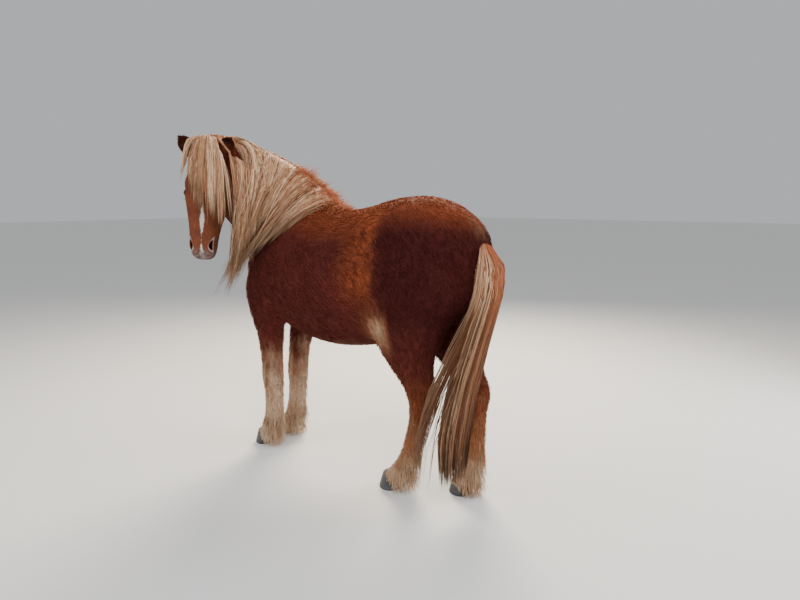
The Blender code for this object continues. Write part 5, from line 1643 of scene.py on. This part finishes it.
def dressSkin():
    # the coat's colours with painted shade under the tufts, and brown ears with painted shade in the cup
    points, normals = vertexPlaces(skin), vertexNormals(skin)
    # painted shade: the skin darkened where the tufts cover it
    colour = coatColour(points, normals) * 0.72
    ears = earShare(points)
    brown = mixed(coatColours["liver"], coatColours["copper"], np.array(0.35)) * 0.8
    for root, axes in earFrames:
        local = (points - root) @ axes
        mine = ears * (np.abs(local[:, 0]) < 0.06) * (local[:, 1] > -0.02)
        mine = mine * (np.linalg.norm(points - root, axis=1) < 0.19)
        colour = mixed(colour, brown, mine * 0.9)
        # painted shade in the ear's cup
        inside = ramp(normals @ axes[:, 2], -0.1, 0.5)
        colour = mixed(colour, coatColours["earDark"], mine * (0.15 + 0.75 * inside))
    giveTint(skin, np.clip(colour, 0, 1))
    loops = np.empty(len(skin.data.loops), np.int64)
    skin.data.loops.foreach_get("vertex_index", loops)
    giveMap(skin, unwrapPlace(points)[loops])
    shadeSmooth(skin)
    skin.data.materials.clear()
    skin.data.materials.append(skinMaterial())


dressSkin()
print("skin dressed")
coatLook = hairMaterial("coat tufts", 0.75, 0.04, 90, 0.22)[0]
longLook = hairMaterial("long hair", 0.48, 0.12, 55, 0.18)[0]


def finished(piece, look, slot, *nodes):
    if look is not None:
        piece.data.materials.clear()
        piece.data.materials.append(look)
    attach(piece, "root")
    if nodes:
        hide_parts(*nodes)


fleshNodes = ["torso", "neck", "head", "ear_left", "ear_right"]
fleshNodes += [f"leg_{end}_{side}_{part}" for end in ends for side in sides for part in ("upper", "lower")]
finished(skin, None, "coat", *fleshNodes)
for piece in coatTufts() + earHair() + featherHair():
    finished(piece, coatLook, "coat")
print("coat made")
for piece in maneHair() + crestHair() + crestFluff() + forelockHair():
    finished(piece, longLook, "long_hair")
for piece in tailHair():
    finished(piece, longLook, "long_hair", "tail")
print("long hair made")
hornLook, eyeLook = hornMaterial(), eyeMaterial()
for end in ends:
    for side in sides:
        finished(hoofPiece(end, side), hornLook, "horn", f"hoof_{end}_{side}")
for name, sign in sides.items():
    finished(eyePiece(f"eye{name.capitalize()}", -sign), eyeLook, "eye", f"eye_{name}")
print("hooves and eyes made")


# ---- floor, light and camera ----
studio = {
    "camera": (2.212, 1.588, 1.38), "heading": (-0.784, -0.621), "pitch": 9.46, "lens": 27.0,
    "floor": (0.84, 0.83, 0.81), "world": (0.84, 0.86, 0.89), "worldStrength": 0.60, "floorSize": 80.0,
    # place, aim, size, watts, colour
    "lights": (
        ((2.6, 3.2, 3.2), (0.0, 0.0, 0.9), 3.2, 150, (1.0, 0.98, 0.95)),
        ((-2.8, -1.6, 3.4), (0.0, 0.1, 1.0), 2.2, 330, (1.0, 0.86, 0.68)),
        ((3.4, -2.2, 1.8), (0.2, -0.4, 1.0), 2.6, 60, (0.92, 0.96, 1.0)),
        ((-2.6, 2.6, 2.0), (0.0, 0.2, 0.9), 2.4, 70, (0.95, 0.97, 1.0)),
    ),
}


def makeFloor():
    # a level square
    size = studio["floorSize"]
    grid = size * (np.stack(np.meshgrid([0, 1], [0, 1]), -1).reshape(-1, 2) - 0.5)
    points = np.column_stack([grid, np.zeros(4)])
    floor = meshObject("floor", points, [(0, 1, 3, 2)])
    material = bpy.data.materials.new("pale floor")
    material.use_nodes = True
    shader = material.node_tree.nodes["Principled BSDF"]
    shader.inputs["Base Color"].default_value = (*studio["floor"], 1)
    shader.inputs["Roughness"].default_value = 0.9
    floor.data.materials.append(material)


def aimed(obj, spot, target):
    obj.location = spot
    obj.rotation_euler = (Vector(target) - Vector(spot)).to_track_quat("-Z", "Y").to_euler()
    bpy.context.scene.collection.objects.link(obj)


def makeLights():
    world = bpy.data.worlds.new("soft sky")
    world.use_nodes = True
    world.node_tree.nodes["Background"].inputs["Color"].default_value = (*studio["world"], 1)
    world.node_tree.nodes["Background"].inputs["Strength"].default_value = studio["worldStrength"]
    bpy.context.scene.world = world
    for k, (spot, target, size, watts, colour) in enumerate(studio["lights"]):
        lamp = bpy.data.lights.new(f"softbox{k + 1}", "AREA")
        lamp.shape = "DISK"
        lamp.size = size
        lamp.energy = watts
        lamp.color = colour
        aimed(bpy.data.objects.new(lamp.name, lamp), spot, target)


def makeCamera():
    data = bpy.data.cameras.new("camera")
    data.lens = studio["lens"]
    data.sensor_width = 36.0
    camera = bpy.data.objects.new("camera", data)
    spot = np.array(studio["camera"]) + stance
    pitch = math.radians(studio["pitch"])
    heading = unit(np.array(studio["heading"]))
    look = np.array([*(heading * math.cos(pitch)), -math.sin(pitch)])
    aimed(camera, spot, spot + look)
    bpy.context.scene.camera = camera


makeFloor()
makeLights()
makeCamera()
print("studio made")
